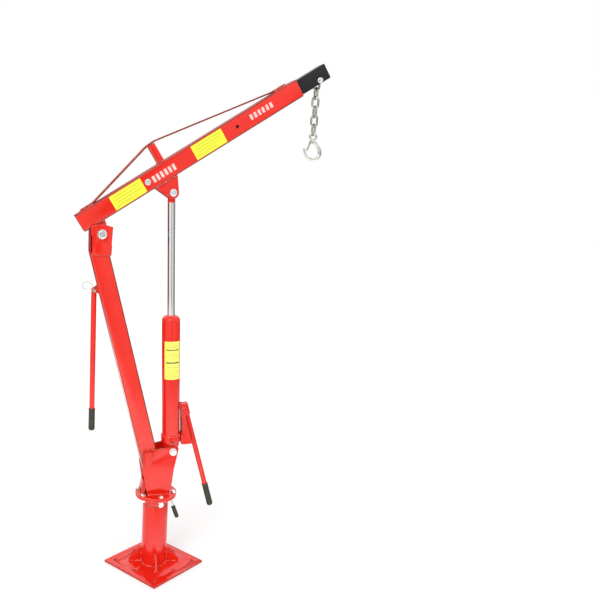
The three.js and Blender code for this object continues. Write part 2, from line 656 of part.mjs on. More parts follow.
function buildPumpLever(ram) {
  const lever = addGroup(ram, HANDLE_ORIGIN.x, HANDLE_ORIGIN.z, -rad(HANDLE_LEAN));
  const [c, s] = [Math.cos(rad(HANDLE_LEAN)), Math.sin(rad(HANDLE_LEAN))];
  const [dx, dz] = [LEVER_PIVOT.x - HANDLE_ORIGIN.x, LEVER_PIVOT.z - HANDLE_ORIGIN.z];
  const knuckle = { x: c * dx + s * dz, z: c * dz - s * dx };
  const tail = [
    [-18, 8],
    [-11.5, 8],
    [-11.5, -13],
    [-15, -33],
    [-24, -33],
    [-21, -12],
  ];
  const socketBore = HANDLE_RADIUS + GAP;
  const socket = cut(
    join(
      ring(socketBore, 14, -13, 33, 24),
      crossPin(knuckle.x, knuckle.z, 9, -14, 14, 24),
      plate(tail, -6, 6),
    ),
    upright(0, 0, socketBore, -40, 10, 24),
    crossPin(knuckle.x, knuckle.z, LEVER_PIN_RADIUS + RUNNING_FIT, -60, 60, 20),
  );
  addPiece(lever, "pump_socket", socket, redPaint);
  const reach = -419;
  addPiece(lever, "pump_handle", ring(8, HANDLE_RADIUS, reach + 12, 8, 24), redPaint);
  const sleeve = roundEnded(GRIP_RADIUS, reach, -322, HANDLE_RADIUS + GAP, reach + 11);
  addPiece(lever, "pump_grip", sleeve, rubber);
}

// ---------------------------------------------------------------- chain and hook
function chainLink() {
  const end = (sign) => {
    const loop = new THREE.TorusGeometry(LINK_BEND, WIRE, 8, 12).rotateX(Math.PI / 2);
    const inside = block(-30, 30, -10, 10, -60, LINK_STRAIGHT);
    const half = cut(loop.translate(0, 0, LINK_STRAIGHT), inside);
    return sign > 0 ? half : half.rotate([180, 0, 0]);
  };
  const leg = (x) => {
    const wire = new THREE.CylinderGeometry(WIRE, WIRE, 2 * LINK_STRAIGHT + 0.02, 8);
    return wire.rotateX(Math.PI / 2).translate(x, 0, 0);
  };
  return join(end(1), end(-1), leg(LINK_BEND), leg(-LINK_BEND));
}

function chainTop() {
  const [c, s] = [Math.cos(rad(BOOM_RISE)), Math.sin(rad(BOOM_RISE))];
  return {
    x: PIVOT.x + CHAIN_BOLT.s * c - CHAIN_BOLT.t * s,
    z: PIVOT.z + CHAIN_BOLT.s * s + CHAIN_BOLT.t * c,
  };
}

function buildChain() {
  const bolt = chainTop();
  const reach = LINK_STRAIGHT + LINK_BEND;
  const pitch = 2 * reach - 2 * WIRE - GAP;
  const first = CHAIN_BOLT_RADIUS + WIRE + GAP - reach;
  const link = geometryOf(chainLink());
  for (let i = 0; i < LINK_COUNT; i++) {
    const mesh = addPiece(crane, `chain_link_${i + 1}`, link.clone(), zinc);
    mesh.position.set(bolt.x, 0, bolt.z + first - i * pitch);
    mesh.rotation.z = i % 2 ? Math.PI / 2 : 0;
  }
  const lastWire = bolt.z + first - (LINK_COUNT - 1) * pitch - reach;
  buildHook(bolt.x, lastWire + WIRE + EYE_WIRE + GAP - EYE_RADIUS);
}

function buildHook(x, z) {
  const hook = addGroup(crane, x, z);
  const shank = [[4, -15], [14, -27], [26, -43]];
  const bowl = [[32, -60], [24, -79], [3, -88], [-19, -80], [-31, -62], [-35, -47]];
  const latchPin = { x: -9, z: -23 };
  const eye = new THREE.TorusGeometry(EYE_RADIUS, EYE_WIRE, 8, 20).rotateX(Math.PI / 2);
  const body = join(
    eye,
    sweep([...shank, ...bowl], HOOK_SECTION, 8, 22),
    new THREE.SphereGeometry(HOOK_SECTION, 8, 6).translate(-35, 0, -47),
    block(-12, 8, -3, 3, -27, -14),
    crossPin(latchPin.x, latchPin.z, 2, -6.5, 6.5, 12),
  );
  addPiece(hook, "load_hook", body, zinc);
  const ear = new THREE.Shape();
  ear.absarc(latchPin.x, latchPin.z, 4.5, rad(30), rad(210), false);
  ear.lineTo(-16.5, -31);
  ear.lineTo(-12, -31);
  ear.closePath();
  const tongue = [[-14, -29], [-11.4, -30], [-22, -55], [-25, -54]];
  const latch = cut(
    join(plate(tongue, -5.5, 5.5), ...plates(ear, 3.3, 5.5)),
    crossPin(latchPin.x, latchPin.z, 2 + GAP, -20, 20, 12),
  );
  addPiece(hook, "hook_latch", latch, zinc);
}

buildBase();
buildSwivelHead();
buildMast();
buildMastHead();
buildFootBracket();
buildSwingHandle();
buildLockLever();
buildBoom();
buildRam();
buildChain();

export default crane;
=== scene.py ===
"""The looks of an engine hoist crane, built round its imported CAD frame.

Shapes are made in millimetres in the directions of the part they belong to, then placed in metres where the
CAD's joints and boxes say. Every piece rides on the CAD body that it moves with.
"""

import json
import math
import random

import bmesh
import bpy
from mathutils import Matrix, Vector
from mathutils.geometry import tessellate_polygon


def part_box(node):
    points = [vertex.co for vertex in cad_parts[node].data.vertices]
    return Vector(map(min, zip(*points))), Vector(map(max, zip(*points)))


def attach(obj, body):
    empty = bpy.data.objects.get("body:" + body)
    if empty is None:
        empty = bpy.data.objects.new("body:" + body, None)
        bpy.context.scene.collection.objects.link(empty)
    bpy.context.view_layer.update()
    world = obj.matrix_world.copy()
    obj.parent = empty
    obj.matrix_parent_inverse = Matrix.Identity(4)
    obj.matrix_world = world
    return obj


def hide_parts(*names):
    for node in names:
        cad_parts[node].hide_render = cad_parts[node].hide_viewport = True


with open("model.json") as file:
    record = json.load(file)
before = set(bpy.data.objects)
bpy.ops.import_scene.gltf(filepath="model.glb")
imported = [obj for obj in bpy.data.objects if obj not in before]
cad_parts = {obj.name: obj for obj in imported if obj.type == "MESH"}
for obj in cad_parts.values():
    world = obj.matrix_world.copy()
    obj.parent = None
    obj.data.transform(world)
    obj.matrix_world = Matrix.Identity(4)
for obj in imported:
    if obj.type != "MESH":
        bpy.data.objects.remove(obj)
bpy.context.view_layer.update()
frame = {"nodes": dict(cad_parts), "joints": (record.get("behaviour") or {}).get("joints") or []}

MM = Matrix.Scale(0.001, 4)
JOINTS = {joint["name"]: joint for joint in frame["joints"]}

# -------- dimensions, in millimetres, as in the CAD
PLATE_SIDE = 280
PLATE_THICK = 8
PLATE_TURN = math.radians(34)
PLATE_HOLE_OFFSET = 109
PLATE_HOLE_RADIUS = 7
POST_RADIUS = 50.5
POST_BORE = 44.5
POST_TOP = 256
GUSSET_REACH = 101
GUSSET_RISE = 57
GUSSET_HALF = 4
GUSSET_TURNS = (45, 135, 231, 315)
COLLAR_BOTTOM = 258.8
COLLAR_TOP = 290
LOWER_FLANGE = (290.3, 298.0)
UPPER_FLANGE = (298.3, 306.0)
FLANGE_RADIUS = 81.5
FLANGE_BOLTS = 6
FLANGE_BOLT_CIRCLE = 70
FLANGE_BOLT_START = math.radians(-85)
COLLAR_BOLT_TURN = math.radians(-80)
LOCK_HEIGHT = 268
HEAD_TOP = UPPER_FLANGE[1]
TUBE_HALF = 34
TUBE_WALL = 4
TUBE_CORNER = 6
SIDE_NEAR = 35
SIDE_FAR = 41
MAST_LEAN = math.radians(14.66)
MAST_FOOT_X = 2.6
MAST_TOP = 1278
BOOM_REAR = -46
BOOM_FRONT = 923
BOOM_AXIS = 71.5
LOCK_BOLT_AT = 242
SPARE_HOLE_AT = 637.5
RAM_PIN = (304.6, -10.7)
KING_POST_AT = 326.5
KING_POST_TOP = 177
EXTENSION_HALF = 29
EXTENSION_REAR = 226
EXTENSION_FRONT = 1054.5
CHAIN_BOLT = (1010, 54.5)
FOOT_BORE = 19
CYLINDER_RADIUS = 35
CYLINDER_BORE = 30
CYLINDER_TO = 512
LUFF_BOLT = 10
RAM_BOLT = 8
CROSS_BOLT = 6
HANDLE_PIN = 4
LEVER_PIN = 4.5
PLUNGER = 6
PLUNGER_AT = 50
STRAP_HALF = 17
FILM = 0.25  # a label's thickness
LOAD_BARS = 6
LINKS = 6
BOOM_UNDER = BOOM_AXIS - TUBE_HALF
BOOM_OVER = BOOM_AXIS + TUBE_HALF
ROD_RADIUS = 14
ROD_STEM = 14.3
LEVER_PIVOT = (46, 172)
HANDLE_LEAN = math.radians(14.4)
HANDLE_ORIGIN = (61.5, 150)
HANDLE_RADIUS = 10
GRIP_RADIUS = 12.5
SWING_LENGTH = 541
WIRE = 4
LINK_BEND = 12
LINK_STRAIGHT = 9
HOOK_DROP = -4.2
THREAD_PITCH = 1.5
THREAD_DEPTH = 0.6
GAP = 0.3  # between neighbouring parts
THROUGH = 60  # how far a cutter reaches each side of the boom's plane
ON_AXIS = 1e-6  # a smaller radius than this is a point on the axis
SLIVER = 0.002  # edges shorter than this are left over from a cut
THICK_PLATE = 10  # a thicker slab is a block, and its sides are not rims
# Narrow faces take worn paint and a painted highlight, where edges catch light.
NARROW = 0.00045  # metres: a face with less area than this times its outline is an edge, and wears
TUBE_END_ABOVE = 12  # from a grip's end up to the end of the tube inside it
WELD_STEP = 0.9
WELD_RIPPLE = 4
WELD_SMOOTH = 60  # degrees: ripples and wire are shaded smooth over sharper corners than plates are


def placed(x=0.0, y=0.0, z=0.0, turn=0.0, about="Y"):
    """A move that follows a turn about one axis."""
    return Matrix.Translation((x, y, z)) @ Matrix.Rotation(turn, 4, about)


def upright_frame(at, turn=0.0):
    """A frame in the boom's plane at a point in metres, turned about Y."""
    return placed(at[0], 0, at[2], turn) @ MM


def spun(turn):
    """The row's own frame, turned about the swivel's axis."""
    return placed(turn=turn, about="Z") @ MM


def node_centre(node):
    low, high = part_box(node)
    return (low + high) / 2


def in_mm(at):
    """The x and z of a point in metres."""
    return 1000 * at[0], 1000 * at[2]


boom_axis = JOINTS["extension_slide"]["axis"]
ram_axis = JOINTS["ram_stroke"]["axis"]
luff_at = JOINTS["boom_luff"]["pos_m"]
swing_at = JOINTS["side_handle_swing"]["pos_m"]
lock_axis = JOINTS["swivel_lock"]["axis"]
foot_at = node_centre("ram_foot_bolt")
ram_top_at = JOINTS["ram_top_pivot"]["pos_m"]

BASE = spun(PLATE_TURN)
LOCK = spun(math.atan2(lock_axis[1], lock_axis[0])) @ placed(z=LOCK_HEIGHT)
BOOM = upright_frame(luff_at, -math.atan2(boom_axis[2], boom_axis[0]))
RAM = upright_frame(foot_at, math.atan2(-ram_axis[0], -ram_axis[2]))
RAM_LENGTH = 1000 * math.hypot(ram_top_at[0] - foot_at.x, ram_top_at[2] - foot_at.z)
LEVER = RAM @ placed(HANDLE_ORIGIN[0], 0, HANDLE_ORIGIN[1], -HANDLE_LEAN)
SWING = upright_frame(swing_at)
HOOK = upright_frame(JOINTS["hook_swing"]["pos_m"]) @ placed(z=HOOK_DROP)

# -------- camera
CAMERA_AT = Vector((-0.573, -2.5321, 1.4534))
CAMERA_HEADING = math.radians(-14.75)
CAMERA_DIP = math.radians(9.12)
CAMERA_ROLL = math.radians(2.23)
CAMERA_LENS = 41.35
CAMERA_SHIFT = (0.1906, 0.017)
CAMERA_SENSOR = 36
CAMERA_CLIP = (0.05, 100)


def build_camera():
    level = math.cos(CAMERA_DIP)
    heading = Vector((-math.sin(CAMERA_HEADING), math.cos(CAMERA_HEADING), 0))
    forward = heading * level + Vector((0, 0, -math.sin(CAMERA_DIP)))
    right = Vector((math.cos(CAMERA_HEADING), math.sin(CAMERA_HEADING), 0))
    up = right.cross(forward)
    rolled_right = right * math.cos(CAMERA_ROLL) + up * math.sin(CAMERA_ROLL)
    rolled_up = up * math.cos(CAMERA_ROLL) - right * math.sin(CAMERA_ROLL)
    data = bpy.data.cameras.new("camera")
    data.sensor_width = CAMERA_SENSOR
    data.lens = CAMERA_LENS
    data.shift_x, data.shift_y = CAMERA_SHIFT
    data.clip_start, data.clip_end = CAMERA_CLIP
    camera = bpy.data.objects.new("camera", data)
    facing = Matrix((rolled_right, rolled_up, -forward)).transposed()
    camera.matrix_world = Matrix.Translation(CAMERA_AT) @ facing.to_4x4()
    bpy.context.scene.collection.objects.link(camera)
    bpy.context.scene.camera = camera


build_camera()


# -------- materials
NOISE_ROUGHNESS = 0.55


class Tree:
    """A node tree, with short ways to add to it."""

    def __init__(self, tree):
        self.tree = tree

    def add(self, kind, **values):
        node = self.tree.nodes.new(kind)
        for key, value in values.items():
            setattr(node, key, value)
        return node

    def link(self, output, socket):
        self.tree.links.new(output, socket)

    def maths(self, operation, *values):
        node = self.add("ShaderNodeMath", operation=operation)
        for socket, value in zip(node.inputs, values):
            if isinstance(value, bpy.types.NodeSocket):
                self.link(value, socket)
            else:
                socket.default_value = value
        return node.outputs[0]

    def ramp(self, value, stops):
        """Maps a value through colour or grey stops."""
        node = self.add("ShaderNodeValToRGB")
        elements = node.color_ramp.elements
        while len(elements) < len(stops):
            elements.new(0.5)
        for element, (position, colour) in zip(elements, stops):
            element.position = position
            grey = isinstance(colour, (int, float))
            element.color = (colour, colour, colour, 1) if grey else (*colour, 1)
        self.link(value, node.inputs["Fac"])
        return node.outputs["Color"]


class Nodes(Tree):
    """A material's node tree."""

    def __init__(self, name):
        self.material = bpy.data.materials.new(name)
        self.material.use_nodes = True
        super().__init__(self.material.node_tree)
        self.shader = self.tree.nodes["Principled BSDF"]
        self.place = self.add("ShaderNodeTexCoord").outputs["Object"]

    def noise(self, scale, detail=3.0, stretch=None):
        node = self.add("ShaderNodeTexNoise")
        node.inputs["Scale"].default_value = scale
        node.inputs["Detail"].default_value = detail
        node.inputs["Roughness"].default_value = NOISE_ROUGHNESS
        place = self.place
        if stretch:
            mapping = self.add("ShaderNodeMapping")
            mapping.inputs["Scale"].default_value = stretch
            self.link(place, mapping.inputs["Vector"])
            place = mapping.outputs["Vector"]
        self.link(place, node.inputs["Vector"])
        return node.outputs["Fac"]

    def mix(self, share, first, second):
        """first where share is 0, second where it is 1."""
        node = self.add("ShaderNodeMix", data_type="RGBA")
        self.link(share, node.inputs["Factor"])
        for key, colour in (("A", first), ("B", second)):
            socket = next(s for s in node.inputs if s.name == key and s.type == "RGBA")
            if isinstance(colour, tuple):
                socket.default_value = (*colour, 1)
            else:
                self.link(colour, socket)
        return next(s for s in node.outputs if s.type == "RGBA")

    def bump(self, height, distance, strength=1.0, below=None):
        node = self.add("ShaderNodeBump")
        node.inputs["Strength"].default_value = strength
        node.inputs["Distance"].default_value = distance
        self.link(height, node.inputs["Height"])
        if below is not None:
            self.link(below, node.inputs["Normal"])
        return node.outputs["Normal"]

    def marked(self, name):
        """A mark that the mesh carries, from 0 to 1."""
        return self.add("ShaderNodeAttribute", attribute_name=name).outputs["Fac"]

    def set(self, **values):
        for key, value in values.items():
            socket = self.shader.inputs[key.replace("_", " ")]
            if isinstance(value, bpy.types.NodeSocket):
                self.link(value, socket)
            else:
                socket.default_value = (*value, 1) if isinstance(value, tuple) else value


def painted(name, base, worn_and_lit, dark, rim_shade_colour, rough, coat, level=0.5):
    """Enamel with a faint orange peel and soft changes of shade.

    It is darkened by painted shade where edge_shade marks cut rims and a tube's rounded corners. Where
    edge_wear_and_glint marks the narrow faces that round an edge off, chips show a lighter worn colour: worn
    paint with a painted highlight, where edges catch light.
    """
    nodes = Nodes(name)
    shade = nodes.ramp(nodes.noise(9), [(0.3, dark), (0.62, base)])
    chips = nodes.ramp(nodes.noise(140, 4), [(0.52, 0.0), (0.6, 1.0)])
    # Painted shade: where edge_shade marks rims and rounded corners, the colour turns to the dark rim
    # colour.
    rim_shaded = nodes.mix(nodes.marked("edge_shade"), shade, rim_shade_colour)
    # edge_wear_and_glint chips: worn paint, made lighter also as a painted highlight where edges catch
    # light.
    wear_and_glint = nodes.maths("MULTIPLY", nodes.marked("edge_wear_and_glint"), chips)
    colour = nodes.mix(wear_and_glint, rim_shaded, worn_and_lit)
    low, high = rough
    gloss = nodes.ramp(nodes.noise(35, 5), [(0.3, low), (0.7, high)])
    peel = nodes.bump(nodes.noise(260, 2), 0.00012)
    grit = nodes.bump(nodes.noise(1400, 2), 0.00002, below=peel)
    nodes.set(Base_Color=colour, Roughness=gloss, Normal=grit, Specular_IOR_Level=level)
    nodes.set(Coat_Weight=coat, Coat_Roughness=0.08)
    return nodes.material


def metal(name, bright, dull, rough, stretch=None, tint=None, relief=0.6):
    """Plated or bare metal: fine scratches and a cloudy change of gloss."""
    nodes = Nodes(name)
    cloud = nodes.ramp(nodes.noise(60, 4), [(0.35, dull), (0.65, bright)])
    if tint:
        patches = nodes.ramp(nodes.noise(22, 3), [(0.5, 0.0), (0.75, 0.55)])
        cloud = nodes.mix(patches, cloud, tint)
    low, high = rough
    gloss = nodes.ramp(nodes.noise(180, 4, stretch=stretch), [(0.3, low), (0.7, high)])
    scratches = nodes.bump(nodes.noise(900, 3, stretch=stretch), 0.00003, relief)
    nodes.set(Base_Color=cloud, Metallic=1.0, Roughness=gloss, Normal=scratches)
    return nodes.material


def moulded(name, base, dusty):
    """Matt grip rubber with a pebbled skin and a little dust."""
    nodes = Nodes(name)
    colour = nodes.ramp(nodes.noise(70, 5), [(0.35, base), (0.75, dusty)])
    cells = nodes.add("ShaderNodeTexVoronoi")
    cells.inputs["Scale"].default_value = 420
    nodes.link(nodes.place, cells.inputs["Vector"])
    pebbles = nodes.bump(cells.outputs["Distance"], 0.0003, 0.7)
    gloss = nodes.ramp(nodes.noise(90, 3), [(0.3, 0.52), (0.7, 0.7)])
    nodes.set(Base_Color=colour, Roughness=gloss, Normal=pebbles, Specular_IOR_Level=0.3)
    return nodes.material


def printed(name, base, faded, rough=0.35):
    """A printed film: nearly even colour, slightly rubbed, with small creases."""
    nodes = Nodes(name)
    colour = nodes.ramp(nodes.noise(45, 5), [(0.35, faded), (0.6, base)])
    gloss = nodes.ramp(nodes.noise(30, 3), [(0.3, rough), (0.7, rough + 0.15)])
    nodes.set(Base_Color=colour, Roughness=gloss, Normal=nodes.bump(nodes.noise(120, 2), 0.00005))
    return nodes.material


RED = painted(
    "red_enamel",
    base=(0.8, 0.015, 0.003),
    # a lighter colour on the narrow edge faces: worn paint and a painted highlight
    worn_and_lit=(0.75, 0.2, 0.14),
    dark=(0.74, 0.01, 0.002),
    # the colour of the painted shade on rims and rounded corners
    rim_shade_colour=(0.15, 0.018, 0.005),
    rough=(0.14, 0.24),
    coat=0.15,
)
BLACK = painted(
    "black_enamel",
    base=(0.012, 0.013, 0.014),
    worn_and_lit=(0.1, 0.1, 0.1),
    dark=(0.007, 0.008, 0.009),
    # the colour of the painted shade on rims and rounded corners
    rim_shade_colour=(0.004, 0.005, 0.005),
    rough=(0.3, 0.42),
    coat=0.0,
    level=0.28,
)
ZINC = metal("zinc_plate", (0.95, 0.95, 0.95), (0.8, 0.8, 0.8), (0.2, 0.36), tint=(0.86, 0.86, 0.76))
CHAIN_ZINC = metal("zinc_chain", (0.62, 0.63, 0.58), (0.34, 0.35, 0.31), (0.28, 0.46), tint=(0.6, 0.6, 0.46))
HOOK_ZINC = metal("zinc_hook", (0.74, 0.76, 0.68), (0.5, 0.52, 0.45), (0.28, 0.46), tint=(0.72, 0.72, 0.56))
CHROME = metal(
    "chrome_rod",
    bright=(0.93, 0.93, 0.91),
    dull=(0.88, 0.88, 0.86),
    rough=(0.03, 0.06),
    stretch=(1, 1, 12),
    relief=0.15,
)
STEEL = metal("machined_steel", (0.6, 0.61, 0.62), (0.4, 0.41, 0.42), (0.26, 0.42), stretch=(1, 1, 14))
# Bronze made darker than the metal is, as painted shade: the thrust washer shows as the shadowed line under
# the collar.
SHADED_BRONZE = metal("bronze", (0.3, 0.18, 0.08), (0.16, 0.09, 0.04), (0.4, 0.55))
RUBBER = moulded("grip_rubber", (0.03, 0.034, 0.022), (0.065, 0.07, 0.05))
YELLOW = printed("yellow_film", (0.92, 0.89, 0.035), (0.88, 0.83, 0.03))
PALE_YELLOW = printed("pale_yellow_film", (0.92, 0.94, 0.16), (0.88, 0.88, 0.13))
WHITE_INK = printed("white_ink", (0.84, 0.62, 0.58), (0.76, 0.45, 0.41), 0.3)
DARK_INK = printed("dark_ink", (0.09, 0.085, 0.02), (0.2, 0.18, 0.03), 0.4)
PALE_INK = printed("pale_ink", (0.5, 0.52, 0.05), (0.62, 0.62, 0.06), 0.4)


# -------- shapes
def mark_edges(data):
    """Writes the edge_wear_and_glint attribute: 1 on the narrow faces that round an edge off, where paint
    wears and a painted highlight lies.
    """
    wear_and_glint = data.attributes.new("edge_wear_and_glint", "FLOAT", "FACE")
    for polygon in data.polygons:
        corners = [data.vertices[i].co for i in polygon.vertices]
        outline = sum((a - b).length for a, b in zip(corners, corners[1:] + corners[:1]))
        narrow = len(corners) == 4 and polygon.area < NARROW * outline
        wear_and_glint.data[polygon.index].value = 1.0 if narrow else 0.0


def as_object(name, shape):
    """Puts a bmesh into the scene as an object."""
    data = bpy.data.meshes.new(name)
    shape.to_mesh(data)
    shape.free()
    made = bpy.data.objects.new(name, data)
    bpy.context.scene.collection.objects.link(made)
    return made


def piece(name, body, finish, shape, place=MM, stands_for=(), smooth=35):
    """Turns a bmesh in millimetres into an object in its place, riding on a CAD body."""
    shape.transform(place)
    bmesh.ops.recalc_face_normals(shape, faces=shape.faces)
    made = as_object(name, shape)
    mark_edges(made.data)
    made.data.materials.append(finish)
    made.data.shade_smooth()
    made.data.set_sharp_from_angle(angle=math.radians(smooth))
    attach(made, body)
    if stands_for:
        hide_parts(*stands_for)


def skin(node, body, finish, shape, place=MM, smooth=35):
    """A piece that stands for one CAD node and is named after it."""
    piece(f"{node}_skin", body, finish, shape, place, [node], smooth)


def joined(first, *others):
    """One bmesh that holds all of them."""
    for other in others:
        carrier = bpy.data.meshes.new("carrier")
        other.to_mesh(carrier)
        other.free()
        first.from_mesh(carrier)
        bpy.data.meshes.remove(carrier)
    return first


def moved(shape, x=0.0, y=0.0, z=0.0, turn=0.0, about="Y"):
    shape.transform(placed(x, y, z, turn, about))
    return shape


def across(shape):
    """Lays a shape made along Z across the boom's plane, its top towards -Y."""
    return moved(shape, turn=math.pi / 2, about="X")


def eased(points, radius, closed=False, steps=3):
    """The same outline with its corners rounded off."""
    count = len(points)
    made = []
    for i, point in enumerate(points):
        corner = Vector(point)
        if not closed and i in (0, count - 1):
            made.append(corner)
            continue
        before, after = Vector(points[i - 1]) - corner, Vector(points[(i + 1) % count]) - corner
        reach = min(radius, 0.45 * before.length, 0.45 * after.length)
        start, end = corner + before.normalized() * reach, corner + after.normalized() * reach
        for k in range(steps + 1):
            t = k / steps
            made.append(start * (1 - t) ** 2 + corner * (2 * t * (1 - t)) + end * t**2)
    return made


def arc(x, z, radius, steps, start, end):
    """Points along part of a circle, from one angle to another in degrees."""
    turns = [math.radians(start + (end - start) * k / steps) for k in range(steps + 1)]
    return [Vector((x + radius * math.cos(a), z + radius * math.sin(a))) for a in turns]


def circle(x, z, radius, steps=40):
    return arc(x, z, radius, steps, 0, 360)[:-1]


def rectangle(x0, x1, z0, z1, corner=0.0):
    points = [Vector((x0, z0)), Vector((x1, z0)), Vector((x1, z1)), Vector((x0, z1))]
    return eased(points, corner, closed=True) if corner else points


def arc_turns(steps):
    return [2 * math.pi * k / steps for k in range(steps)]


def spoke(radius, turn, height):
    return (radius * math.cos(turn), radius * math.sin(turn), height)


def bridged(shape, rings, closed=False, capped=False):
    """Fills in between each ring of corners and the next. A ring may be a single point."""
    pairs = list(zip(rings, rings[1:]))
    if closed:
        pairs.append((rings[-1], rings[0]))
    for low, high in pairs:
        steps = max(len(low), len(high))
        for k in range(steps):
            n = (k + 1) % steps
            corners = (low[k % len(low)], low[n % len(low)], high[n % len(high)], high[k % len(high)])
            distinct = list(dict.fromkeys(corners))
            if len(distinct) > 2:
                shape.faces.new(distinct)
    if capped:
        shape.faces.new(rings[0])
        shape.faces.new(rings[-1])
    return shape


def lathe(profile, steps, closed=False):
    """A profile of [radius, height] turned about Z. A radius of 0 closes on the axis."""
    shape = bmesh.new()
    rings = []
    for radius, height in profile:
        turns = arc_turns(steps) if radius > ON_AXIS else [0.0]
        rings.append([shape.verts.new(spoke(radius, a, height)) for a in turns])
    return bridged(shape, rings, closed)


def turned(profile, edge, steps, closed=False):
    """The same, with the profile's corners rounded off."""
    return lathe(eased(profile, edge, closed), steps, closed)


def ring(inner, outer, z0, z1, edge, steps):
    return turned([(inner, z0), (outer, z0), (outer, z1), (inner, z1)], edge, steps, closed=True)


def rod(radius, z0, z1, edge, steps=40):
    return turned([(0, z0), (radius, z0), (radius, z1), (0, z1)], edge, steps)


def cutter(radius, x=0.0, z=0.0, reach=THROUGH, steps=40):
    """A round cutter across the boom's plane."""
    return moved(across(rod(radius, -reach, reach, 0, steps)), x, 0, z)


def wound(loop, sign):
    """The loop in the given sense: 1 anticlockwise, -1 clockwise."""
    points = [Vector(p) for p in loop]
    area = sum(a.x * b.y - b.x * a.y for a, b in zip(points, points[1:] + points[:1]))
    return points if area * sign > 0 else points[::-1]


def inset(loop, depth):
    """The loop moved depth to its left."""
    made = []
    for i, point in enumerate(loop):
        ahead = (loop[(i + 1) % len(loop)] - point).normalized()
        behind = (point - loop[i - 1]).normalized()
        a, b = Vector((-behind.y, behind.x)), Vector((-ahead.y, ahead.x))
        made.append(point + (a + b) * (depth / max(0.3, 1 + a.dot(b))))
    return made


def shaded(shape, low, high):
    """Maps the shape's edge_shade from 0 and 1 to low and high."""
    shade = shape.verts.layers.float["edge_shade"]
    for vertex in shape.verts:
        vertex[shade] = low + (high - low) * vertex[shade]
    return shape


def slab(outline, near, far, holes=(), edge=0.8):
    """A flat plate with rounded edges: the outline is in XZ, the thickness along Y."""
    shape = bmesh.new()
    shade = shape.verts.layers.float.new("edge_shade")
    loops = [wound(outline, 1)] + [wound(hole, -1) for hole in holes]
    levels = [(near, edge), (near + 0.3 * edge, 0.3 * edge), (near + edge, 0)]
    levels += [(far - edge, 0), (far - 0.3 * edge, 0.3 * edge), (far, edge)]
    stacks = []
    for loop in loops:
        stack = [[shape.verts.new((p.x, y, p.y)) for p in inset(loop, depth)] for y, depth in levels]
        stacks.append(stack)
        # The middle levels of a thin plate's rims get edge_shade 1: painted shade along its cut edges.
        for level in stack[1:-1] if abs(far - near) < THICK_PLATE else ():
            for vertex in level:
                vertex[shade] = 1.0
        bridged(shape, stack)
    for level in (0, -1):
        flat = [[Vector((v.co.x, v.co.z, 0)) for v in stack[level]] for stack in stacks]
        corners = [v for stack in stacks for v in stack[level]]
        for triangle in tessellate_polygon(flat):
            shape.faces.new([corners[i] for i in triangle])
    return shape


def box(x0, x1, y0, y1, z0, z1, edge=0.8):
    return slab(rectangle(x0, x1, z0, z1), y0, y1, edge=edge)


def both_sides(outline, near, far, holes=(), edge=0.8):
    """The same plate on both sides of the boom's plane."""
    return joined(slab(outline, -far, -near, holes, edge), slab(outline, near, far, holes, edge))


def square_tube(half, wall, start, end, edge=0.9):
    """A hollow section with rounded corners along Y."""
    outer = rectangle(-half, half, -half, half, TUBE_CORNER)
    inner = rectangle(wall - half, half - wall, wall - half, half - wall, 3)
    shape = slab(outer, start, end, [inner], edge)
    shade = shape.verts.layers.float["edge_shade"]
    # Only the rounded corners get edge_shade 1: painted shade along them.
    flat_to = half - TUBE_CORNER + 0.1
    for vertex in shape.verts:
        rounded = min(abs(vertex.co.x), abs(vertex.co.z)) > flat_to
        vertex[shade] = 1.0 if rounded else 0.0
    return shape


def swapped(shape, order):
    """The shape with its coordinates in another order, such as (1, 0, 2)."""
    for vertex in shape.verts:
        old = vertex.co.copy()
        vertex.co = [old[i] for i in order]
    bmesh.ops.recalc_face_normals(shape, faces=shape.faces)
    return shape


def carved(shape, *cutters):
    """The shape with the cutters' solids taken out."""

    def held(solid, name):
        bmesh.ops.recalc_face_normals(solid, faces=solid.faces)
        return as_object(name, solid)

    target = held(shape, "carve_target")
    tools = [held(tool, "carve_tool") for tool in cutters]
    for tool in tools:
        step = target.modifiers.new("carve", "BOOLEAN")
        step.operation = "DIFFERENCE"
        step.solver = "EXACT"
        step.object = tool
    result = bmesh.new()
    result.from_object(target, bpy.context.evaluated_depsgraph_get())
    bmesh.ops.dissolve_degenerate(result, dist=SLIVER, edges=result.edges)
    loose = [vertex for vertex in result.verts if not vertex.link_faces]
    bmesh.ops.delete(result, geom=loose, context="VERTS")
    for made in [target, *tools]:
        data = made.data
        bpy.data.objects.remove(made)
        bpy.data.meshes.remove(data)
    return result


def curve_through(points, per_span=8):
    """A smooth line through points, with per_span steps between each two."""
    ends = [Vector(p) for p in points]
    last = len(ends) - 1
    made = []
    for i in range(last):
        a, b, c, d = ends[max(i - 1, 0)], ends[i], ends[i + 1], ends[min(i + 2, last)]
        for k in range(per_span):
            t = k / per_span
            line = b * 2 + (c - a) * t + (a * 2 - b * 5 + c * 4 - d) * t**2
            made.append((line + (b * 3 - a - c * 3 + d) * t**3) / 2)
    return [*made, ends[-1]]


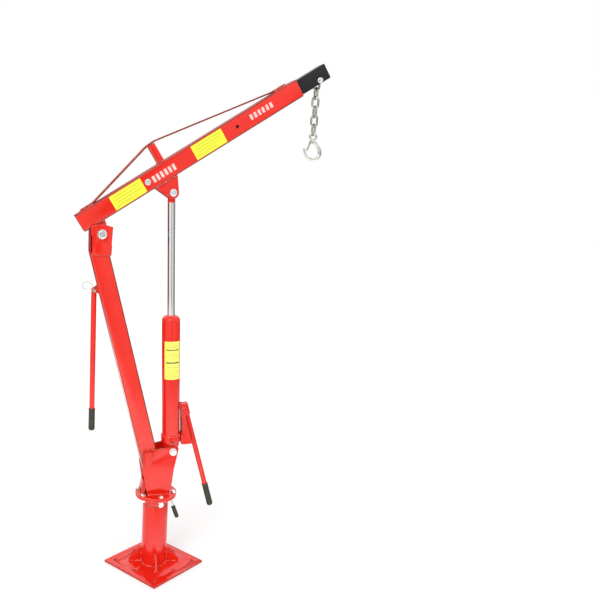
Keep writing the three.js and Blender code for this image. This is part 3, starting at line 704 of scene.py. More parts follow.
def swept(path, radii, sides, closed=False):
    """A round bar along a path, with a radius at each point. Open ends are closed with a dome."""
    shape = bmesh.new()
    if not closed:
        first, last = path[0], path[-1]
        back = (path[0] - path[1]).normalized() * radii[0] * 0.6
        ahead = (path[-1] - path[-2]).normalized() * radii[-1] * 0.6
        path = [first + back, first + back * 0.7, *path, last + ahead * 0.7, last + ahead]
        radii = [0.35 * radii[0], 0.8 * radii[0], *radii, 0.8 * radii[-1], 0.35 * radii[-1]]
    count = len(path)
    side = None
    rings = []
    for i, point in enumerate(path):
        before = path[i - 1] if closed or i else path[0]
        after = path[(i + 1) % count] if closed or i < count - 1 else path[-1]
        along = (after - before).normalized()
        if side is None:
            side = along.orthogonal().normalized()
            if abs(along.y) < 0.9:
                side = along.cross(Vector((0, 1, 0))).normalized()
        side = (side - along * side.dot(along)).normalized()
        other = along.cross(side)
        outward = [side * math.cos(a) + other * math.sin(a) for a in arc_turns(sides)]
        rings.append([shape.verts.new(point + away * radii[i]) for away in outward])
    return bridged(shape, rings, closed, capped=not closed)


def wire(path, radius, sides, closed=False):
    return swept(path, [radius] * len(path), sides, closed)


def weld(points, radius, seed, closed=False):
    """A weld bead along straight runs between points: overlapping ripples with an uneven hand."""
    hand = random.Random(seed)
    ends = [Vector(p) for p in points]
    if closed:
        ends.append(ends[0])
    path = []
    for start, end in zip(ends, ends[1:]):
        count = max(2, round((end - start).length / WELD_STEP))
        path += [start.lerp(end, k / count) for k in range(count)]
    if not closed:
        path.append(ends[-1])
    radii = []
    drift = 0.0
    for i in range(len(path)):
        drift = 0.8 * drift + 0.06 * hand.uniform(-1, 1)
        ripple = abs(math.sin(math.pi * i / WELD_RIPPLE))
        radii.append(radius * (0.84 + 0.22 * ripple + drift))
    return swept(path, radii, 8, closed)


def weld_ring(radius, height, bead, seed):
    points = [spoke(radius, a, height) for a in arc_turns(120)]
    return weld(points, bead, seed, closed=True)


def weld_run(x0, x1, y, z, bead, seed):
    """A straight bead along X."""
    return weld([(x0, y, z), (x1, y, z)], bead, seed)


def welded(name, body, place, *beads):
    """Painted beads, as one piece."""
    piece(name, body, RED, joined(*beads), place, smooth=WELD_SMOOTH)


def hexagon(corner_radius, bottom, top):
    """A hexagonal head along Z with its top corners chamfered round."""
    twelfth = math.pi / 6
    flat = corner_radius * math.cos(twelfth)
    round_top = 0.96 * flat
    shape = bmesh.new()
    rows = [[], [], [], []]
    for a in arc_turns(48):
        reach = flat / math.cos((a + twelfth) % (2 * twelfth) - twelfth)
        slope = 0.55 * (reach - round_top)
        levels = [(reach, bottom), (reach, top - slope), (round_top, top), (0.8 * round_top, top)]
        for row, (radius, height) in zip(rows, levels):
            row.append(shape.verts.new(spoke(radius, a, height)))
    return bridged(shape, rows, capped=True)


def thread(radius, z0, z1):
    """A threaded end: a shallow groove for each turn."""
    profile = [(0, z0), (radius - 1, z0)]
    turns = max(2, int((z1 - z0) / THREAD_PITCH))
    for k in range(turns):
        height = z0 + (z1 - z0) * k / turns
        profile.append((radius - THREAD_DEPTH, height + 0.1 * THREAD_PITCH))
        profile.append((radius, height + 0.5 * THREAD_PITCH))
    profile += [(radius - THREAD_DEPTH, z1), (0, z1)]
    return lathe(profile, 32)


def bolt(radius, corner_radius, washer, bottom, top, washer_thick=2.0):
    """A hexagon bolt along Z, head on top, with its nut and washers."""
    head = radius * 1.3
    nut_face = bottom - GAP - washer_thick
    head_face = top + GAP + washer_thick
    mark = lathe([(0.0, 0.0), (0.45 * radius, 0.0), (0.4 * radius, 0.35), (0, 0.35)], 24)
    return joined(
        rod(radius, nut_face, head_face, 0.2),
        rod(washer, nut_face, bottom - GAP, 0.5),
        rod(washer, top + GAP, head_face, 0.5),
        mirrored(hexagon(corner_radius, -nut_face, head - nut_face)),
        hexagon(corner_radius, head_face, head_face + head),
        moved(mark, z=head_face + head - 0.05),
        thread(radius, nut_face - head - 3, nut_face - head + 0.5),
    )


def mirrored(shape):
    """The shape upside down."""
    shape.transform(Matrix.Scale(-1, 4, (0, 0, 1)))
    return shape


def cross_bolt(node, body, place, at, sizes, half, washer_thick=2.0):
    """A bolt across the boom's plane, its washers against two faces half away from that plane."""
    shape = across(bolt(*sizes, -half, half, washer_thick))
    skin(node, body, ZINC, moved(shape, at[0], 0, at[1]), place)


# -------- base
def build_base():
    half = PLATE_SIDE / 2
    offsets = (-PLATE_HOLE_OFFSET, 0, PLATE_HOLE_OFFSET)
    holes = [circle(x, y, PLATE_HOLE_RADIUS, 32) for x in offsets for y in offsets if x or y]
    outline = rectangle(-half, half, -half, half, 2)
    # The plate's rims carry painted shade at 0.55 strength.
    plate = swapped(shaded(slab(outline, 0, PLATE_THICK, holes, 0.9), 0, 0.55), (0, 2, 1))
    skin("base_plate", "base", RED, plate, BASE)
    floor = PLATE_THICK + GAP
    skin("base_post", "base", RED, ring(POST_BORE, POST_RADIUS, floor, POST_TOP, 1.2, 96), BASE)
    for i, degrees in enumerate(GUSSET_TURNS):
        build_gusset(i, floor, BASE @ placed(turn=math.radians(degrees), about="Z"))
    welded("post_weld", "base", BASE, weld_ring(POST_RADIUS + 0.8, PLATE_THICK + 0.8, 3.4, 3))


def build_gusset(i, floor, place):
    """A gusset between the plate and the post, with a bead along each edge that meets them."""
    start, reach, top = POST_RADIUS - 0.5, GUSSET_REACH, floor + GUSSET_RISE
    outline = [(start, floor - 0.4), (reach, floor - 0.4), (reach, floor + 7)]
    outline += [(start + 8.5, top), (start, top)]
    # The gusset's rims carry only a faint painted shade.
    gusset = shaded(slab(outline, -GUSSET_HALF, GUSSET_HALF, edge=1.3), 0, 0.1)
    piece(f"base_gusset_skin_{i + 1}", "base", RED, gusset, place, [f"base_gusset_{i + 1}"])
    beads = []
    for side in (-1, 1):
        y = side * (GUSSET_HALF + 0.6)
        beads.append(weld_run(start + 3, reach - 1, y, floor + 0.6, 3.0, 10 * i + side))
        beads.append(weld([(start + 1, y, floor + 3), (start + 1, y, top - 2)], 2.8, 10 * i + side + 5))
    welded(f"gusset_weld_{i + 1}", "base", place, *beads)


# -------- swivel head
def build_swivel_head():
    bore = POST_BORE + 0.1
    collar = ring(bore, POST_RADIUS, COLLAR_BOTTOM, COLLAR_TOP + 0.5, 1.4, 96)
    piece("collar_skin", "turret", RED, collar, MM, ["swivel_collar"])
    flanges = (("lower_flange", LOWER_FLANGE, bore), ("upper_flange", UPPER_FLANGE, 15))
    for name, (low, high), hole in flanges:
        skin(name, "turret", RED, ring(hole, FLANGE_RADIUS, low, high, 1.5, 96))
    welded("collar_weld", "turret", MM, weld_ring(POST_RADIUS + 0.6, LOWER_FLANGE[0] - 0.8, 2.8, 5))
    for i in range(FLANGE_BOLTS):
        angle = FLANGE_BOLT_START + 2 * math.pi * i / FLANGE_BOLTS
        shape = moved(bolt(5, 9.4, 10.2, LOWER_FLANGE[0], HEAD_TOP), turn=0.5 + 1.3 * i, about="Z")
        skin(f"flange_bolt_{i + 1}", "turret", ZINC, moved(shape, *spoke(FLANGE_BOLT_CIRCLE, angle, 0)))
    screw = rod(5.8, POST_BORE + 1, POST_RADIUS + 2, 0.2)
    screw = joined(screw, hexagon(11, POST_RADIUS - 0.5, POST_RADIUS + 8.5))
    place = spun(COLLAR_BOLT_TURN) @ placed(z=LOCK_HEIGHT + 1, turn=math.pi / 2)
    skin("collar_bolt", "turret", ZINC, screw, place)


def build_lock_lever():
    bend = [(45.5, 0, 0), (56, 0, 0), (62.5, 0, -4), (67, 0, -14), (75, 0, -36), (82, 0, -54)]
    piece("lock_lever_bar", "lock", ZINC, wire(curve_through(bend), 4.0, 20), LOCK, ["lock_lever"])
    outline = [(0, -11), (4.4, -11), (4.4, 24.5), (8.2, 24.5), (8.5, 20), (7.9, 14)]
    outline += [(8.5, 0), (8.3, -20), (7.2, -24.6), (0, -26)]
    place = LOCK @ placed(79.2, 0, -47, -math.atan2(17, 44))
    piece("lock_lever_sleeve", "lock", RUBBER, turned(outline, 2, 40), place, ["lock_lever_grip"])


# -------- mast
def mast_x(z):
    """The middle of the mast tube at a height."""
    return MAST_FOOT_X - math.tan(MAST_LEAN) * (z - HEAD_TOP)


def build_mast():
    length = (MAST_TOP - HEAD_TOP) / math.cos(MAST_LEAN)
    tube = swapped(square_tube(TUBE_HALF, TUBE_WALL, 0, length), (0, 2, 1))
    for vertex in tube.verts:
        vertex.co.z -= math.tan(MAST_LEAN) * vertex.co.x
    place = MM @ placed(MAST_FOOT_X, 0, HEAD_TOP, -MAST_LEAN)
    notch = box(-400, -272.7, -THROUGH, THROUGH, 1248, 1290)
    notch.transform(place.inverted() @ MM)
    piece("mast_skin", "turret", RED, carved(tube, notch), place, ["mast_tube"])
    x, y = TUBE_HALF / math.cos(MAST_LEAN) + 1, TUBE_HALF + 1
    foot = [(MAST_FOOT_X + i * x, j * y, HEAD_TOP + 1.2) for i, j in ((-1, -1), (1, -1), (1, 1), (-1, 1))]
    welded("mast_foot_weld", "turret", MM, weld(foot, 3.2, 7, closed=True))


def build_mast_head():
    outline = [(-271, 1242), (-205.5, 1242), (-199, 1345), (-230, 1352), (-279, 1352), (-279, 1250)]
    bore = circle(*in_mm(luff_at), LUFF_BOLT + GAP)
    sides = both_sides(eased(outline, 3, closed=True), SIDE_NEAR, SIDE_FAR, [bore], 1.2)
    web = box(-279, -273, -SIDE_FAR, SIDE_FAR, 1250, 1314, 1.2)
    piece("mast_head_skin", "turret", RED, joined(sides, web), MM, ["mast_head_bracket"])
    beads = []
    for side in (-1, 1):
        y = side * (TUBE_HALF + 1.2)
        beads.append(weld_run(-269, -207, y, 1241.5, 3.2, 11 + side))
        beads.append(weld([(-205.5, y, 1243), (-203, y, 1276)], 2.6, 21 + side))
    welded("mast_head_weld", "turret", MM, *beads)
    place = upright_frame(luff_at)
    cross_bolt("mast_pivot_bolt", "turret", place, (0, 0), (LUFF_BOLT, 15, 17.5), SIDE_FAR, 3)


def build_foot_bracket():
    floor = HEAD_TOP + GAP
    x, z = in_mm(foot_at)
    knuckle = arc(x, z, 21, 16, -14, 110)
    outline = [(-42, floor), (44, floor), (52, floor + 26), (60.5, 405), (x + 20.5, z - 5), *knuckle]
    outline += [(30, 499), (-9, 491), (-63, 489), (-65, 425), (-50, floor + 30)]
    sides = both_sides(outline, SIDE_NEAR, SIDE_FAR, [circle(x, z, RAM_BOLT + GAP)], 1.2)
    heel = [(-61, floor + 11), (-55, floor + 11), (-47.5, floor + 44), (-53, floor + 44)]
    skin("foot_bracket", "turret", RED, joined(sides, slab(heel, -SIDE_FAR, SIDE_FAR, edge=1.0)))
    tab = eased([(-58, 484), (-26, 484), (-29, 428), (-51, 428)], 3, closed=True)
    piece("foot_bracket_tab", "turret", RED, slab(tab, -SIDE_FAR - 4.5, -SIDE_FAR + 0.5, edge=1.0))
    beads = []
    for side in (-1, 1):
        beads.append(weld_run(-41, 43, side * (SIDE_FAR + 0.8), floor + 1, 3.2, 31 + side))
        y = side * (TUBE_HALF + 1)
        beads.append(weld([(-60, y, 489.6), (-12, y, 490.6)], 2.8, 41 + side))
    welded("foot_bracket_weld", "turret", MM, *beads)
    place = upright_frame(foot_at)
    cross_bolt("ram_foot_bolt", "turret", place, (0, 0), (RAM_BOLT, 13, 14.5), SIDE_FAR, 2.5)


# -------- handles
def handle_tube(top, bottom):
    """A steel tube along Z, open at both ends and drawn in a little at its top."""
    bore = 8
    profile = [(bore, top), (bore + 0.4, top), (HANDLE_RADIUS, top - 1.2)]
    profile += [(HANDLE_RADIUS, bottom), (bore, bottom)]
    return turned(profile, 0.6, 48, closed=True)


def grip_sleeve(top, bottom):
    """A moulded grip: a lip at its mouth, shallow rings and a domed end."""
    bore, r, rings = HANDLE_RADIUS + 0.1, GRIP_RADIUS, 6
    floor = bottom + TUBE_END_ABOVE - 0.4
    outline = [(0, floor), (bore, floor), (bore, top), (r, top), (r, top - 4), (r - 0.9, top - 6)]
    for k in range(1, rings):
        z = top - 6 + (bottom + 16 - top) * k / rings
        outline += [(r - 0.4, z + 3), (r - 1.0, z), (r - 0.4, z - 3)]
    outline += [(r - 0.3, bottom + 8), (r - 1.2, bottom + 3), (r - 5, bottom), (0, bottom)]
    return turned(outline, 1.6, 48)


def build_swing_handle():
    x, z = in_mm(swing_at)
    low, high = z - 16, z + 16
    foot, head = (mast_x(level) - TUBE_HALF / math.cos(MAST_LEAN) for level in (low, high))
    web = [(foot, low), (head, high), (head - 4.3, high), (foot - 4.3, low)]
    ear = [(foot - 2.3, low + 4), (head - 2.3, high), *arc(x, z, 8, 14, 80, 260)]
    ears = both_sides(ear, 12.5, 17, [circle(x, z, HANDLE_PIN + GAP, 24)], 0.8)
    skin("handle_lug", "turret", RED, joined(slab(web, -17, 17, edge=0.8), ears))
    beads = []
    for y in (-17.5, 17.5):
        beads.append(weld([(foot - 0.5, y, low + 1), (head - 0.5, y, high - 1)], 2.4, 51 + y))
    welded("handle_lug_weld", "turret", MM, *beads)
    pin = joined(rod(HANDLE_PIN, -18, 25, 0.9, 32), rod(7, -20, -17.3, 0.8, 32))
    skin("handle_pin", "turret", ZINC, across(pin), SWING)
    clip = [(3, -22.5, -9), (0, -22.5, 0), (-4, -22.5, 9), (-12, -23, 22), (-26, -24, 32), (-40, -24, 29)]
    clip += [(-46, -24, 17), (-38, -26, 7), (-24, -29, 6), (-12, -29.5, 5), (-4, -29.5, -3), (4, -28, -2)]
    piece("hairpin_clip", "turret", CHAIN_ZINC, wire(curve_through(clip, 6), 1.3, 12), SWING)
    tube = carved(handle_tube(6, TUBE_END_ABOVE - SWING_LENGTH), cutter(HANDLE_PIN + GAP, reach=30))
    skin("swing_handle", "side_handle", RED, tube, SWING)
    sleeve = grip_sleeve(86 - SWING_LENGTH, -SWING_LENGTH)
    piece("swing_handle_sleeve", "side_handle", RUBBER, sleeve, SWING, ["swing_handle_grip"])


# -------- boom
def ear_bracket(s0, s1, pin, near, far, radius, bore):
    """Two ears under the boom, bored for a pin, and the plate that joins them."""
    roof = BOOM_UNDER + 0.4
    outline = [(s0, roof), (s0, roof - 7), *arc(*pin, radius, 18, 205, 335), (s1, roof - 7), (s1, roof)]
    ears = both_sides(outline, near, far, [circle(*pin, bore)], 1.1)
    return joined(ears, box(s0, s1, -far, far, roof - 6.4, roof, 1.0))


def along_boom(shape):
    """Lays a shape made along Y along the boom."""
    return moved(swapped(shape, (1, 0, 2)), z=BOOM_AXIS)


def build_boom():
    tube = along_boom(square_tube(TUBE_HALF, TUBE_WALL, BOOM_REAR, BOOM_FRONT))
    holes = [cutter(6.5, SPARE_HOLE_AT, BOOM_AXIS), cutter(CROSS_BOLT + GAP, LOCK_BOLT_AT, BOOM_AXIS)]
    piece("boom_skin", "boom", RED, carved(tube, *holes), BOOM, ["boom_tube"])
    shape = ear_bracket(-22, 36, (0, 0), 26, 33.5, 24, LUFF_BOLT + GAP)
    piece("boom_pivot_skin", "boom", RED, shape, BOOM, ["boom_pivot_bracket"])
    shape = ear_bracket(262, 350, RAM_PIN, 22, 30, 22, RAM_BOLT + GAP)
    piece("ram_ear_skin", "boom", RED, shape, BOOM, ["ram_ear_bracket"])
    post = rectangle(KING_POST_AT - 12.5, KING_POST_AT + 12.5, BOOM_OVER - 0.4, KING_POST_TOP)
    skin("king_post", "boom", RED, slab(post, -STRAP_HALF, STRAP_HALF, edge=2.4), BOOM)
    strap = slab(strap_outline(), -STRAP_HALF, STRAP_HALF, edge=0.9)
    # The strap's two flat sides get edge_shade 1 and the rest 0: painted shade, dark all over those sides.
    shade = strap.verts.layers.float["edge_shade"]
    for vertex in strap.verts:
        vertex[shade] = 1.0 if abs(vertex.co.y) > STRAP_HALF - 0.2 else 0.0
    skin("tie_strap", "boom", RED, strap, BOOM)
    build_boom_welds()
    at = (LOCK_BOLT_AT, BOOM_AXIS)
    cross_bolt("boom_lock_bolt", "boom", BOOM, at, (CROSS_BOLT, 10, 11.5), TUBE_HALF)
    cross_bolt("ram_top_bolt", "boom", BOOM, RAM_PIN, (RAM_BOLT, 12.5, 14), 30, 2.5)


def strap_outline():
    """The bent strap over the king post, with its soft bends."""
    flat, high = BOOM_OVER + 3.3, KING_POST_TOP + 3.3
    line = [(-18, flat), (34, flat), (309, high + 0.5), (344, high + 2.5)]
    line = eased([*line, (830, flat + 0.5), (886, flat + 0.5)], 9, steps=4)
    upper, lower = [], []
    for i, point in enumerate(line):
        along = (line[min(i + 1, len(line) - 1)] - line[max(i - 1, 0)]).normalized()
        aside = Vector((-along.y, along.x)) * 3
        upper.append(point + aside)
        lower.append(point - aside)
    return lower + upper[::-1]


def build_boom_welds():
    over = BOOM_OVER
    # From and to along the boom, aside, above it, the bead's radius and its seed.
    runs = (
        (-17, 30, 17.6, over + 1, 2.4, 61),
        (838, 884, 17.6, over + 1, 2.4, 71),
        (314.5, 338.5, 17.4, over + 0.8, 2.6, 81),
        (264, 348, 31, BOOM_UNDER - 1, 3.0, 91),
        (-20, 34, 33, BOOM_UNDER - 0.6, 2.2, 101),
    )
    beads = []
    for side in (-1, 1):
        for s0, s1, aside, t, bead, seed in runs:
            beads.append(weld_run(s0, s1, side * aside, t, bead, seed + side))
    # Where each bead across the boom lies: along it, half its length, above it, and its seed.
    ends = (
        (887, 15, over + 1, 111),
        (-19, 15, over + 1, 112),
        (313, 16, over + 0.8, 433),
        (340, 16, over + 0.8, 460),
    )
    for s, half, t, seed in ends:
        beads.append(weld([(s, -half, t), (s, half, t)], 2.6, seed))
    welded("boom_welds", "boom", BOOM, *beads)


def on_boom(outline, under, over, edge=0.05):
    """A film on the boom's -Y side, between two heights above it."""
    return slab(outline, -TUBE_HALF - over, -TUBE_HALF - under, edge=edge)


def build_boom_labels():
    """Two labels with bars in place of their lines, and two rows of bars in place of load figures."""
    for number, (s0, s1) in enumerate(((90, 223), (443.5, 577)), start=1):
        label = on_boom(rectangle(s0, s1, 43.5, 98.5, 3), 0, FILM)
        piece(f"boom_label_{number}", "boom", YELLOW, label, BOOM)
        lines = []
        for row, (start, end) in enumerate(((0.1, 0.9), (0.08, 0.86), (0.14, 0.92), (0.08, 0.7))):
            t = 88 - 11 * row
            bar = rectangle(s0 + start * (s1 - s0), s0 + end * (s1 - s0), t - 1.4, t + 1.4)
            lines.append(on_boom(bar, 0.2, 0.4, 0.02))
        piece(f"boom_label_lines_{number}", "boom", PALE_INK, joined(*lines), BOOM)
    for number, (s0, s1, t0, t1) in enumerate(((262, 366, 56, 80), (697, 804, 63, 84)), start=1):
        pitch = (s1 - s0) / LOAD_BARS
        bars = []
        for k in range(LOAD_BARS):
            block = rectangle(s0 + k * pitch, s0 + (k + 0.62) * pitch, t0, t1, 2)
            bars.append(on_boom(block, 0, FILM))
        piece(f"boom_load_mark_{number}", "boom", WHITE_INK, joined(*bars), BOOM)


def build_extension():
    half, slot = EXTENSION_HALF, 6.7
    under = BOOM_AXIS - half
    s, t = CHAIN_BOLT
    tube = along_boom(square_tube(half, TUBE_WALL, EXTENSION_REAR, EXTENSION_FRONT))
    cuts = [
        cutter(slot, LOCK_BOLT_AT, BOOM_AXIS),
        box(EXTENSION_REAR - 2, LOCK_BOLT_AT, -THROUGH, THROUGH, BOOM_AXIS - slot, BOOM_AXIS + slot, 0.1),
        box(s - 40, s + 34, -7, 7, under - 1, under + TUBE_WALL + 1, 0.1),
        cutter(CROSS_BOLT + GAP, s, t),
    ]
    piece("extension_skin", "extension", BLACK, carved(tube, *cuts), BOOM, ["boom_extension"])
    cross_bolt("chain_bolt", "extension", BOOM, CHAIN_BOLT, (CROSS_BOLT, 9.5, 10.5), half)


# -------- ram
def build_ram():
    plug, bore = CYLINDER_BORE - GAP, ROD_RADIUS + GAP
    profile = [(0, 10), (TUBE_HALF - 4, 10), (TUBE_HALF, 14), (TUBE_HALF, 32), (39, 32)]
    profile += [(39, 58), (plug, 58), (plug, 63), (0, 63)]
    lug = [*arc(0, 0, 28, 36, 155, 385), (26, 16), (-26, 16)]
    body = carved(turned(profile, 2.2, 80), cutter(FOOT_BORE, steps=48))
    base = joined(body, slab(lug, -20, 20, [circle(0, 0, FOOT_BORE, 48)], 1.2))
    skin("ram_base", "cylinder", RED, base, RAM)
    cylinder = ring(CYLINDER_BORE, CYLINDER_RADIUS, 57.8, CYLINDER_TO + 0.2, 0.6, 96)
    skin("ram_cylinder", "cylinder", RED, cylinder, RAM)
    gland = [(bore, 498), (plug, 498), (plug, 512.3), (35, 512.3), (34.8, 518)]
    gland += [(32, 525), (26, 531), (19, 534), (bore, 534)]
    skin("ram_gland", "cylinder", RED, turned(gland, 3, 80, closed=True), RAM)
    welded("ram_weld", "cylinder", RAM, weld_ring(CYLINDER_RADIUS + 0.2, 58.6, 2.6, 131))
    foot, neck = RAM_LENGTH - 36, RAM_LENGTH - 8
    skin("ram_rod", "rod", CHROME, rod(ROD_RADIUS, 435.5, foot - 0.2, 0.5, 96), RAM)
    stem = turned([(0, foot), (ROD_STEM, foot), (ROD_STEM, neck), (0, neck)], 1.5, 64)
    bearing = moved(across(ring(8.4, 20, -20, 20, 1.2, 64)), z=RAM_LENGTH)
    eye = joined(carved(stem, cutter(19, z=RAM_LENGTH, reach=30)), bearing)
    skin("rod_eye", "rod", RED, eye, RAM)
    knob = joined(rod(4, 30, 54, 0.4, 32), fluted(9, 40, 52), box(-7, 7, -2, 2, 50, 58, 0.8))
    skin("release_valve", "valve", RED, across(knob), upright_frame(JOINTS["valve_turn"]["pos_m"]))
    build_ram_label()


def fluted(radius, z0, z1):
    """A knurled knob along Z."""
    flutes, depth, bevel = 12, 0.35, 0.9
    shape = bmesh.new()
    rows = []
    for height, scale in ((z0, 0.92), (z0 + bevel, 1), (z1 - bevel, 1), (z1, 0.92)):
        row = []
        for a in arc_turns(4 * flutes):
            reach = scale * (radius - depth + depth * math.cos(flutes * a))
            row.append(shape.verts.new(spoke(reach, a, height)))
        rows.append(row)
    return bridged(shape, rows, capped=True)


def wrapped(spread, z0, z1, under, over):
    """A film on the cylinder's -Y side, spread each way, between two heights above its wall."""
    steps = 40
    inner, outer = CYLINDER_RADIUS + under, CYLINDER_RADIUS + over
    shape = bmesh.new()
    columns = []
    for k in range(steps + 1):
        a = spread * (2 * k / steps - 1) - math.pi / 2
        corners = ((inner, z0), (outer, z0), (outer, z1), (inner, z1))
        columns.append([shape.verts.new(spoke(r, a, z)) for r, z in corners])
    return bridged(shape, columns, capped=True)


def build_ram_label():
    spread = math.radians(57)
    piece("ram_label", "cylinder", PALE_YELLOW, wrapped(spread, 288, 437, -0.1, FILM), RAM)
    bars = [wrapped(spread * 0.8, z - half, z + half, 0, 0.4) for z, half in ((404, 2.0), (354, 2.6))]
    piece("ram_label_bars", "cylinder", DARK_INK, joined(*bars), RAM)
    lines = []
    for k, z in enumerate((422, 415, 388, 379, 370, 336, 327, 318, 309, 300)):
        lines.append(wrapped(spread * (0.5 + 0.22 * (k % 2)), z - 1, z + 1, 0, 0.35))
    piece("ram_label_lines", "cylinder", PALE_INK, joined(*lines), RAM)


# -------- pump
def build_pump():
    x, z = LEVER_PIVOT
    bore = PLUNGER + GAP
    cheek = [(40, 20), (84, 20), (58, 122), *arc(x, z, 9, 18, 0, 180), (42, 150), (43, 64), (40, 60)]
    hole = circle(x, z, LEVER_PIN + GAP, 24)
    cheeks = both_sides(eased(cheek, 1.5, closed=True), 16.8, 22, [hole], 0.9)
    block = carved(box(38.6, 68, -17, 17, 20, 56, 1.2), moved(rod(bore, 24, 60, 0), PLUNGER_AT))
    tube = moved(ring(bore, 12, 55, 66, 0.8, 48), PLUNGER_AT)
    piece("pump_skin", "cylinder", RED, joined(cheeks, block, tube), RAM, ["pump_body"])
    beads = []
    for side in (-1, 1):
        beads.append(weld_run(41, 82, side * 22.6, 21.5, 2.6, 141 + side))
        beads.append(weld([(40.5, side * 19, 22), (40.5, side * 19, 57)], 3.0, 151 + side))
    beads.append(weld([(41, -15, 57), (66, -15, 57), (66, 15, 57), (41, 15, 57)], 2.2, 161))
    welded("pump_weld", "cylinder", RAM, *beads)
    heads = [rod(7.5, low, high, 0.9, 32) for low, high in ((-26, -22.3), (22.3, 26))]
    pin = joined(rod(LEVER_PIN, -24, 24, 0.5, 32), *heads)
    skin("pump_lever_pin", "cylinder", RED, moved(across(pin), x, 0, z), RAM)
    plunger = joined(rod(PLUNGER, 28, 108, 0.4), rod(8.5, 105, 111, 1.2))
    skin("pump_plunger", "plunger", STEEL, moved(plunger, PLUNGER_AT), RAM)
    build_pump_lever()


def build_pump_lever():
    x, z = (a - b for a, b in zip(LEVER_PIVOT, HANDLE_ORIGIN))
    c, s = math.cos(HANDLE_LEAN), math.sin(HANDLE_LEAN)
    bore = HANDLE_RADIUS + GAP
    bearing = carved(across(rod(9, -14, 14, 1.0)), cutter(LEVER_PIN + GAP))
    knuckle = carved(moved(bearing, c * x + s * z, 0, c * z - s * x), rod(bore, -40, 10, 0))
    socket = ring(bore, 14, -13, 33, 1.2, 56)
    tail = [(-18, 8), (-11.5, 8), (-11.5, -13), (-15, -33), (-24, -33), (-21, -12)]
    arm = slab(eased(tail, 2, closed=True), -6, 6, edge=1.2)
    skin("pump_socket", "pump", RED, joined(socket, knuckle, arm), LEVER)
    cap = turned([(0, 30.5), (10.2, 30.5), (10.2, 32.6), (0, 32.6)], 0.6, 40)
    piece("pump_socket_cap", "pump", RED, cap, LEVER)
    welded("pump_socket_weld", "pump", LEVER, weld_ring(12.4, -13.2, 1.8, 171))
    end = -419
    skin("pump_handle", "pump", RED, handle_tube(8, end + TUBE_END_ABOVE), LEVER)
    piece("pump_handle_sleeve", "pump", RUBBER, grip_sleeve(-322, end), LEVER, ["pump_grip"])


# -------- chain and hook
def link_path():
    """The middle of a link's wire: two half rounds and the straights between them."""
    steps = 18
    points = []
    for start, lift in ((0, LINK_STRAIGHT), (math.pi, -LINK_STRAIGHT)):
        for k in range(steps + 1):
            a = start + math.pi * k / steps
            points.append(Vector((LINK_BEND * math.cos(a), 0, lift + LINK_BEND * math.sin(a))))
    return points


def build_chain():
    for i in range(LINKS):
        node = f"chain_link_{i + 1}"
        link = wire(link_path(), WIRE, 18, closed=True)
        bead = turned([(0, -2.6), (WIRE, -2.2), (WIRE + 0.5, 0), (WIRE, 2.2), (0, 2.6)], 0.8, 24)
        place = placed(*node_centre(node), math.pi / 2 if i % 2 else 0, "Z") @ MM
        skin(node, f"link_{i + 1}", CHAIN_ZINC, joined(link, moved(bead, LINK_BEND)), place, WELD_SMOOTH)


def build_hook():
    eye = [Vector((13 * math.cos(a), 0, 13 * math.sin(a))) for a in arc_turns(40)]
    shank = [(4, 0, -15), (14, 0, -27), (26, 0, -43)]
    bowl = [(32, 0, -60), (24, 0, -79), (3, 0, -88), (-19, 0, -80), (-31, 0, -62), (-35, 0, -47)]
    path = curve_through(shank + bowl, 7)
    radii = []
    for i in range(len(path)):
        t = i / (len(path) - 1)
        swell = 2.2 * math.sin(math.pi * min(1.0, t * 1.25))
        radii.append(4.6 + swell - 1.6 * max(0.0, t - 0.8) / 0.2)
    web = slab(rectangle(-12, 8, -27, -14, 3), -3, 3, edge=1)
    rivet = moved(across(rod(2, -6.5, 6.5, 0.5, 24)), -9, 0, -23)
    shape = joined(wire(eye, 4.4, 18, closed=True), swept(path, radii, 20), web, rivet)
    skin("load_hook", "hook", HOOK_ZINC, shape, HOOK, WELD_SMOOTH)
    ear = [*arc(-9, -23, 4.5, 10, 30, 210), (-16.5, -31), (-12, -31)]
    ears = both_sides(ear, 3.3, 5.5, [circle(-9, -23, 2.2, 20)], 0.4)
    tongue = slab([(-14, -29), (-11.4, -30), (-22, -55), (-25, -54)], -5.5, 5.5, edge=0.7)
    skin("hook_latch", "latch", CHAIN_ZINC, joined(ears, tongue), HOOK)


# -------- studio
FLOOR_RADIUS = 30
FLOOR_AT = -0.0004
FLOOR_GLOW = 0.05
SUN_STRENGTH = 0.75
SUN_WIDTH = math.radians(35)
SUN_TURN = (math.radians(48), math.radians(-8), math.radians(-28))
AROUND = (-180, 180)
UPRIGHT = (-90, 90)
# Degrees round from +Y towards +X, and a brightness there.
SOFT_STOPS = (
    (-180, 1.25),
    (-135, 1.2),
    (-100, 0.75),
    (-60, 0.8),
    (0, 1.0),
    (60, 0.8),
    (100, 0.75),
    (135, 1.1),
    (180, 1.25),
)
ABOVE_STOPS = ((-180, 0.9), (-90, 1.1), (0, 1.35), (90, 1.1), (180, 0.9))
BELOW_STOPS = ((-180, 2.1), (-130, 1.8), (-90, 1.1), (0, 0.95), (90, 1.1), (130, 1.8), (180, 2.1))
PANEL_STOPS = (
    (-180, 0.1),
    (-174, 0.1),
    (-170, 0.82),
    (-96, 0.9),
    (-84, 0.08),
    (80, 0.1),
    (90, 0.4),
    (132, 0.4),
    (140, 0.82),
    (170, 0.82),
    (174, 0.1),
    (180, 0.1),
)
# Degrees above the horizon, and how far the lower levels have taken over there.
LOW_STOPS = ((-90, 1.0), (-27, 1.0), (-20, 0.0), (90, 0.0))
# Degrees above the horizon, and how much of the panels shows there.
BAND_STOPS = ((-90, 0.0), (-19, 0.0), (-13, 1.0), (14, 1.0), (20, 0.0), (90, 0.0))


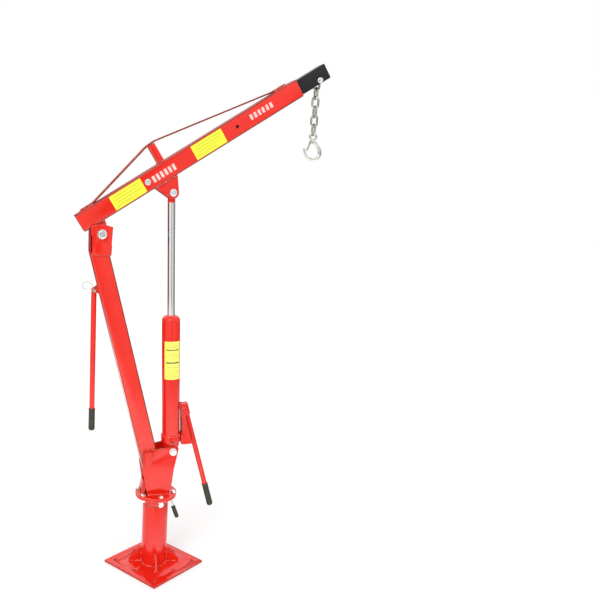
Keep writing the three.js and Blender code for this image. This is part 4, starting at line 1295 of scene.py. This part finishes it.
def build_floor():
    shape = bmesh.new()
    bmesh.ops.create_circle(shape, cap_ends=True, segments=64, radius=FLOOR_RADIUS)
    floor = as_object("floor", shape)
    floor.location.z = FLOOR_AT
    floor.visible_glossy = False
    nodes = Nodes("floor_white")
    paper = nodes.ramp(nodes.noise(3, 2), [(0.3, (0.93, 0.93, 0.935)), (0.7, (0.95, 0.95, 0.95))])
    to_eye = nodes.add("ShaderNodeLightPath").outputs["Is Camera Ray"]
    glow = nodes.ramp(to_eye, [(0.0, 0.0), (1.0, FLOOR_GLOW)])
    nodes.set(Base_Color=paper, Roughness=0.9, Specular_IOR_Level=0.0, Emission_Color=(1.0, 1.0, 1.0))
    nodes.set(Emission_Strength=glow)
    floor.data.materials.append(nodes.material)


class Sky(Tree):
    """The world's node tree: grey levels by direction."""

    def __init__(self):
        world = bpy.data.worlds.new("studio")
        bpy.context.scene.world = world
        world.use_nodes = True
        super().__init__(world.node_tree)
        self.tree.nodes.clear()
        where = self.add("ShaderNodeTexCoord").outputs["Generated"]
        split = self.add("ShaderNodeSeparateXYZ")
        self.link(where, split.inputs[0])
        self.x, self.y, self.z = (split.outputs[k] for k in "XYZ")

    def levels(self, value, stops, limits):
        """The value, between its limits, mapped through (value, grey) stops."""
        low, high = limits
        share = self.add("ShaderNodeMapRange")
        share.inputs["From Min"].default_value = low
        share.inputs["From Max"].default_value = high
        self.link(value, share.inputs["Value"])
        shares = [((place - low) / (high - low), grey) for place, grey in stops]
        return self.ramp(share.outputs["Result"], shares)

    def either(self, share, first, second):
        """first where share is 0, second where it is 1."""
        rest = self.maths("MULTIPLY", self.maths("SUBTRACT", 1.0, share), first)
        return self.maths("ADD", rest, self.maths("MULTIPLY", share, second))


def build_light():
    """A white studio all round: brighter from the front, with dark panels that only reflections show."""
    sky = Sky()
    around = sky.maths("DEGREES", sky.maths("ARCTAN2", sky.x, sky.y))
    height = sky.maths("DEGREES", sky.maths("ARCSINE", sky.z))
    panels = sky.levels(around, PANEL_STOPS, AROUND)
    band = sky.levels(height, BAND_STOPS, UPRIGHT)
    above = sky.levels(around, ABOVE_STOPS, AROUND)
    below = sky.levels(around, BELOW_STOPS, AROUND)
    plain = sky.either(sky.levels(height, LOW_STOPS, UPRIGHT), above, below)
    glossy = sky.either(band, plain, panels)
    soft = sky.levels(around, SOFT_STOPS, AROUND)
    path = sky.add("ShaderNodeLightPath")
    seen = sky.either(path.outputs["Is Glossy Ray"], soft, glossy)
    seen = sky.either(path.outputs["Is Camera Ray"], seen, 1.0)
    background = sky.add("ShaderNodeBackground")
    sky.link(seen, background.inputs["Strength"])
    background.inputs["Color"].default_value = (1, 1, 1, 1)
    output = sky.add("ShaderNodeOutputWorld")
    sky.link(background.outputs[0], output.inputs[0])
    data = bpy.data.lights.new("key", "SUN")
    data.energy = SUN_STRENGTH
    data.angle = SUN_WIDTH
    key = bpy.data.objects.new("key", data)
    key.rotation_euler = SUN_TURN
    bpy.context.scene.collection.objects.link(key)
    bpy.context.scene.view_settings.view_transform = "Standard"


def finish_cad_nodes():
    """The CAD nodes that have no piece over them get the same procedural finishes."""
    # The thrust washer's bronze is darkened as painted shade for the gap under the collar.
    finishes = {"pivot_spigot": STEEL, "thrust_washer": SHADED_BRONZE, "ram_piston": STEEL}
    for node, finish in finishes.items():
        for slot in frame["nodes"][node].material_slots:
            slot.link = "OBJECT"
            slot.material = finish


build_base()
build_swivel_head()
build_lock_lever()
build_mast()
build_mast_head()
build_foot_bracket()
build_swing_handle()
build_boom()
build_boom_labels()
build_extension()
build_ram()
build_pump()
build_chain()
build_hook()
finish_cad_nodes()
build_floor()
build_light()
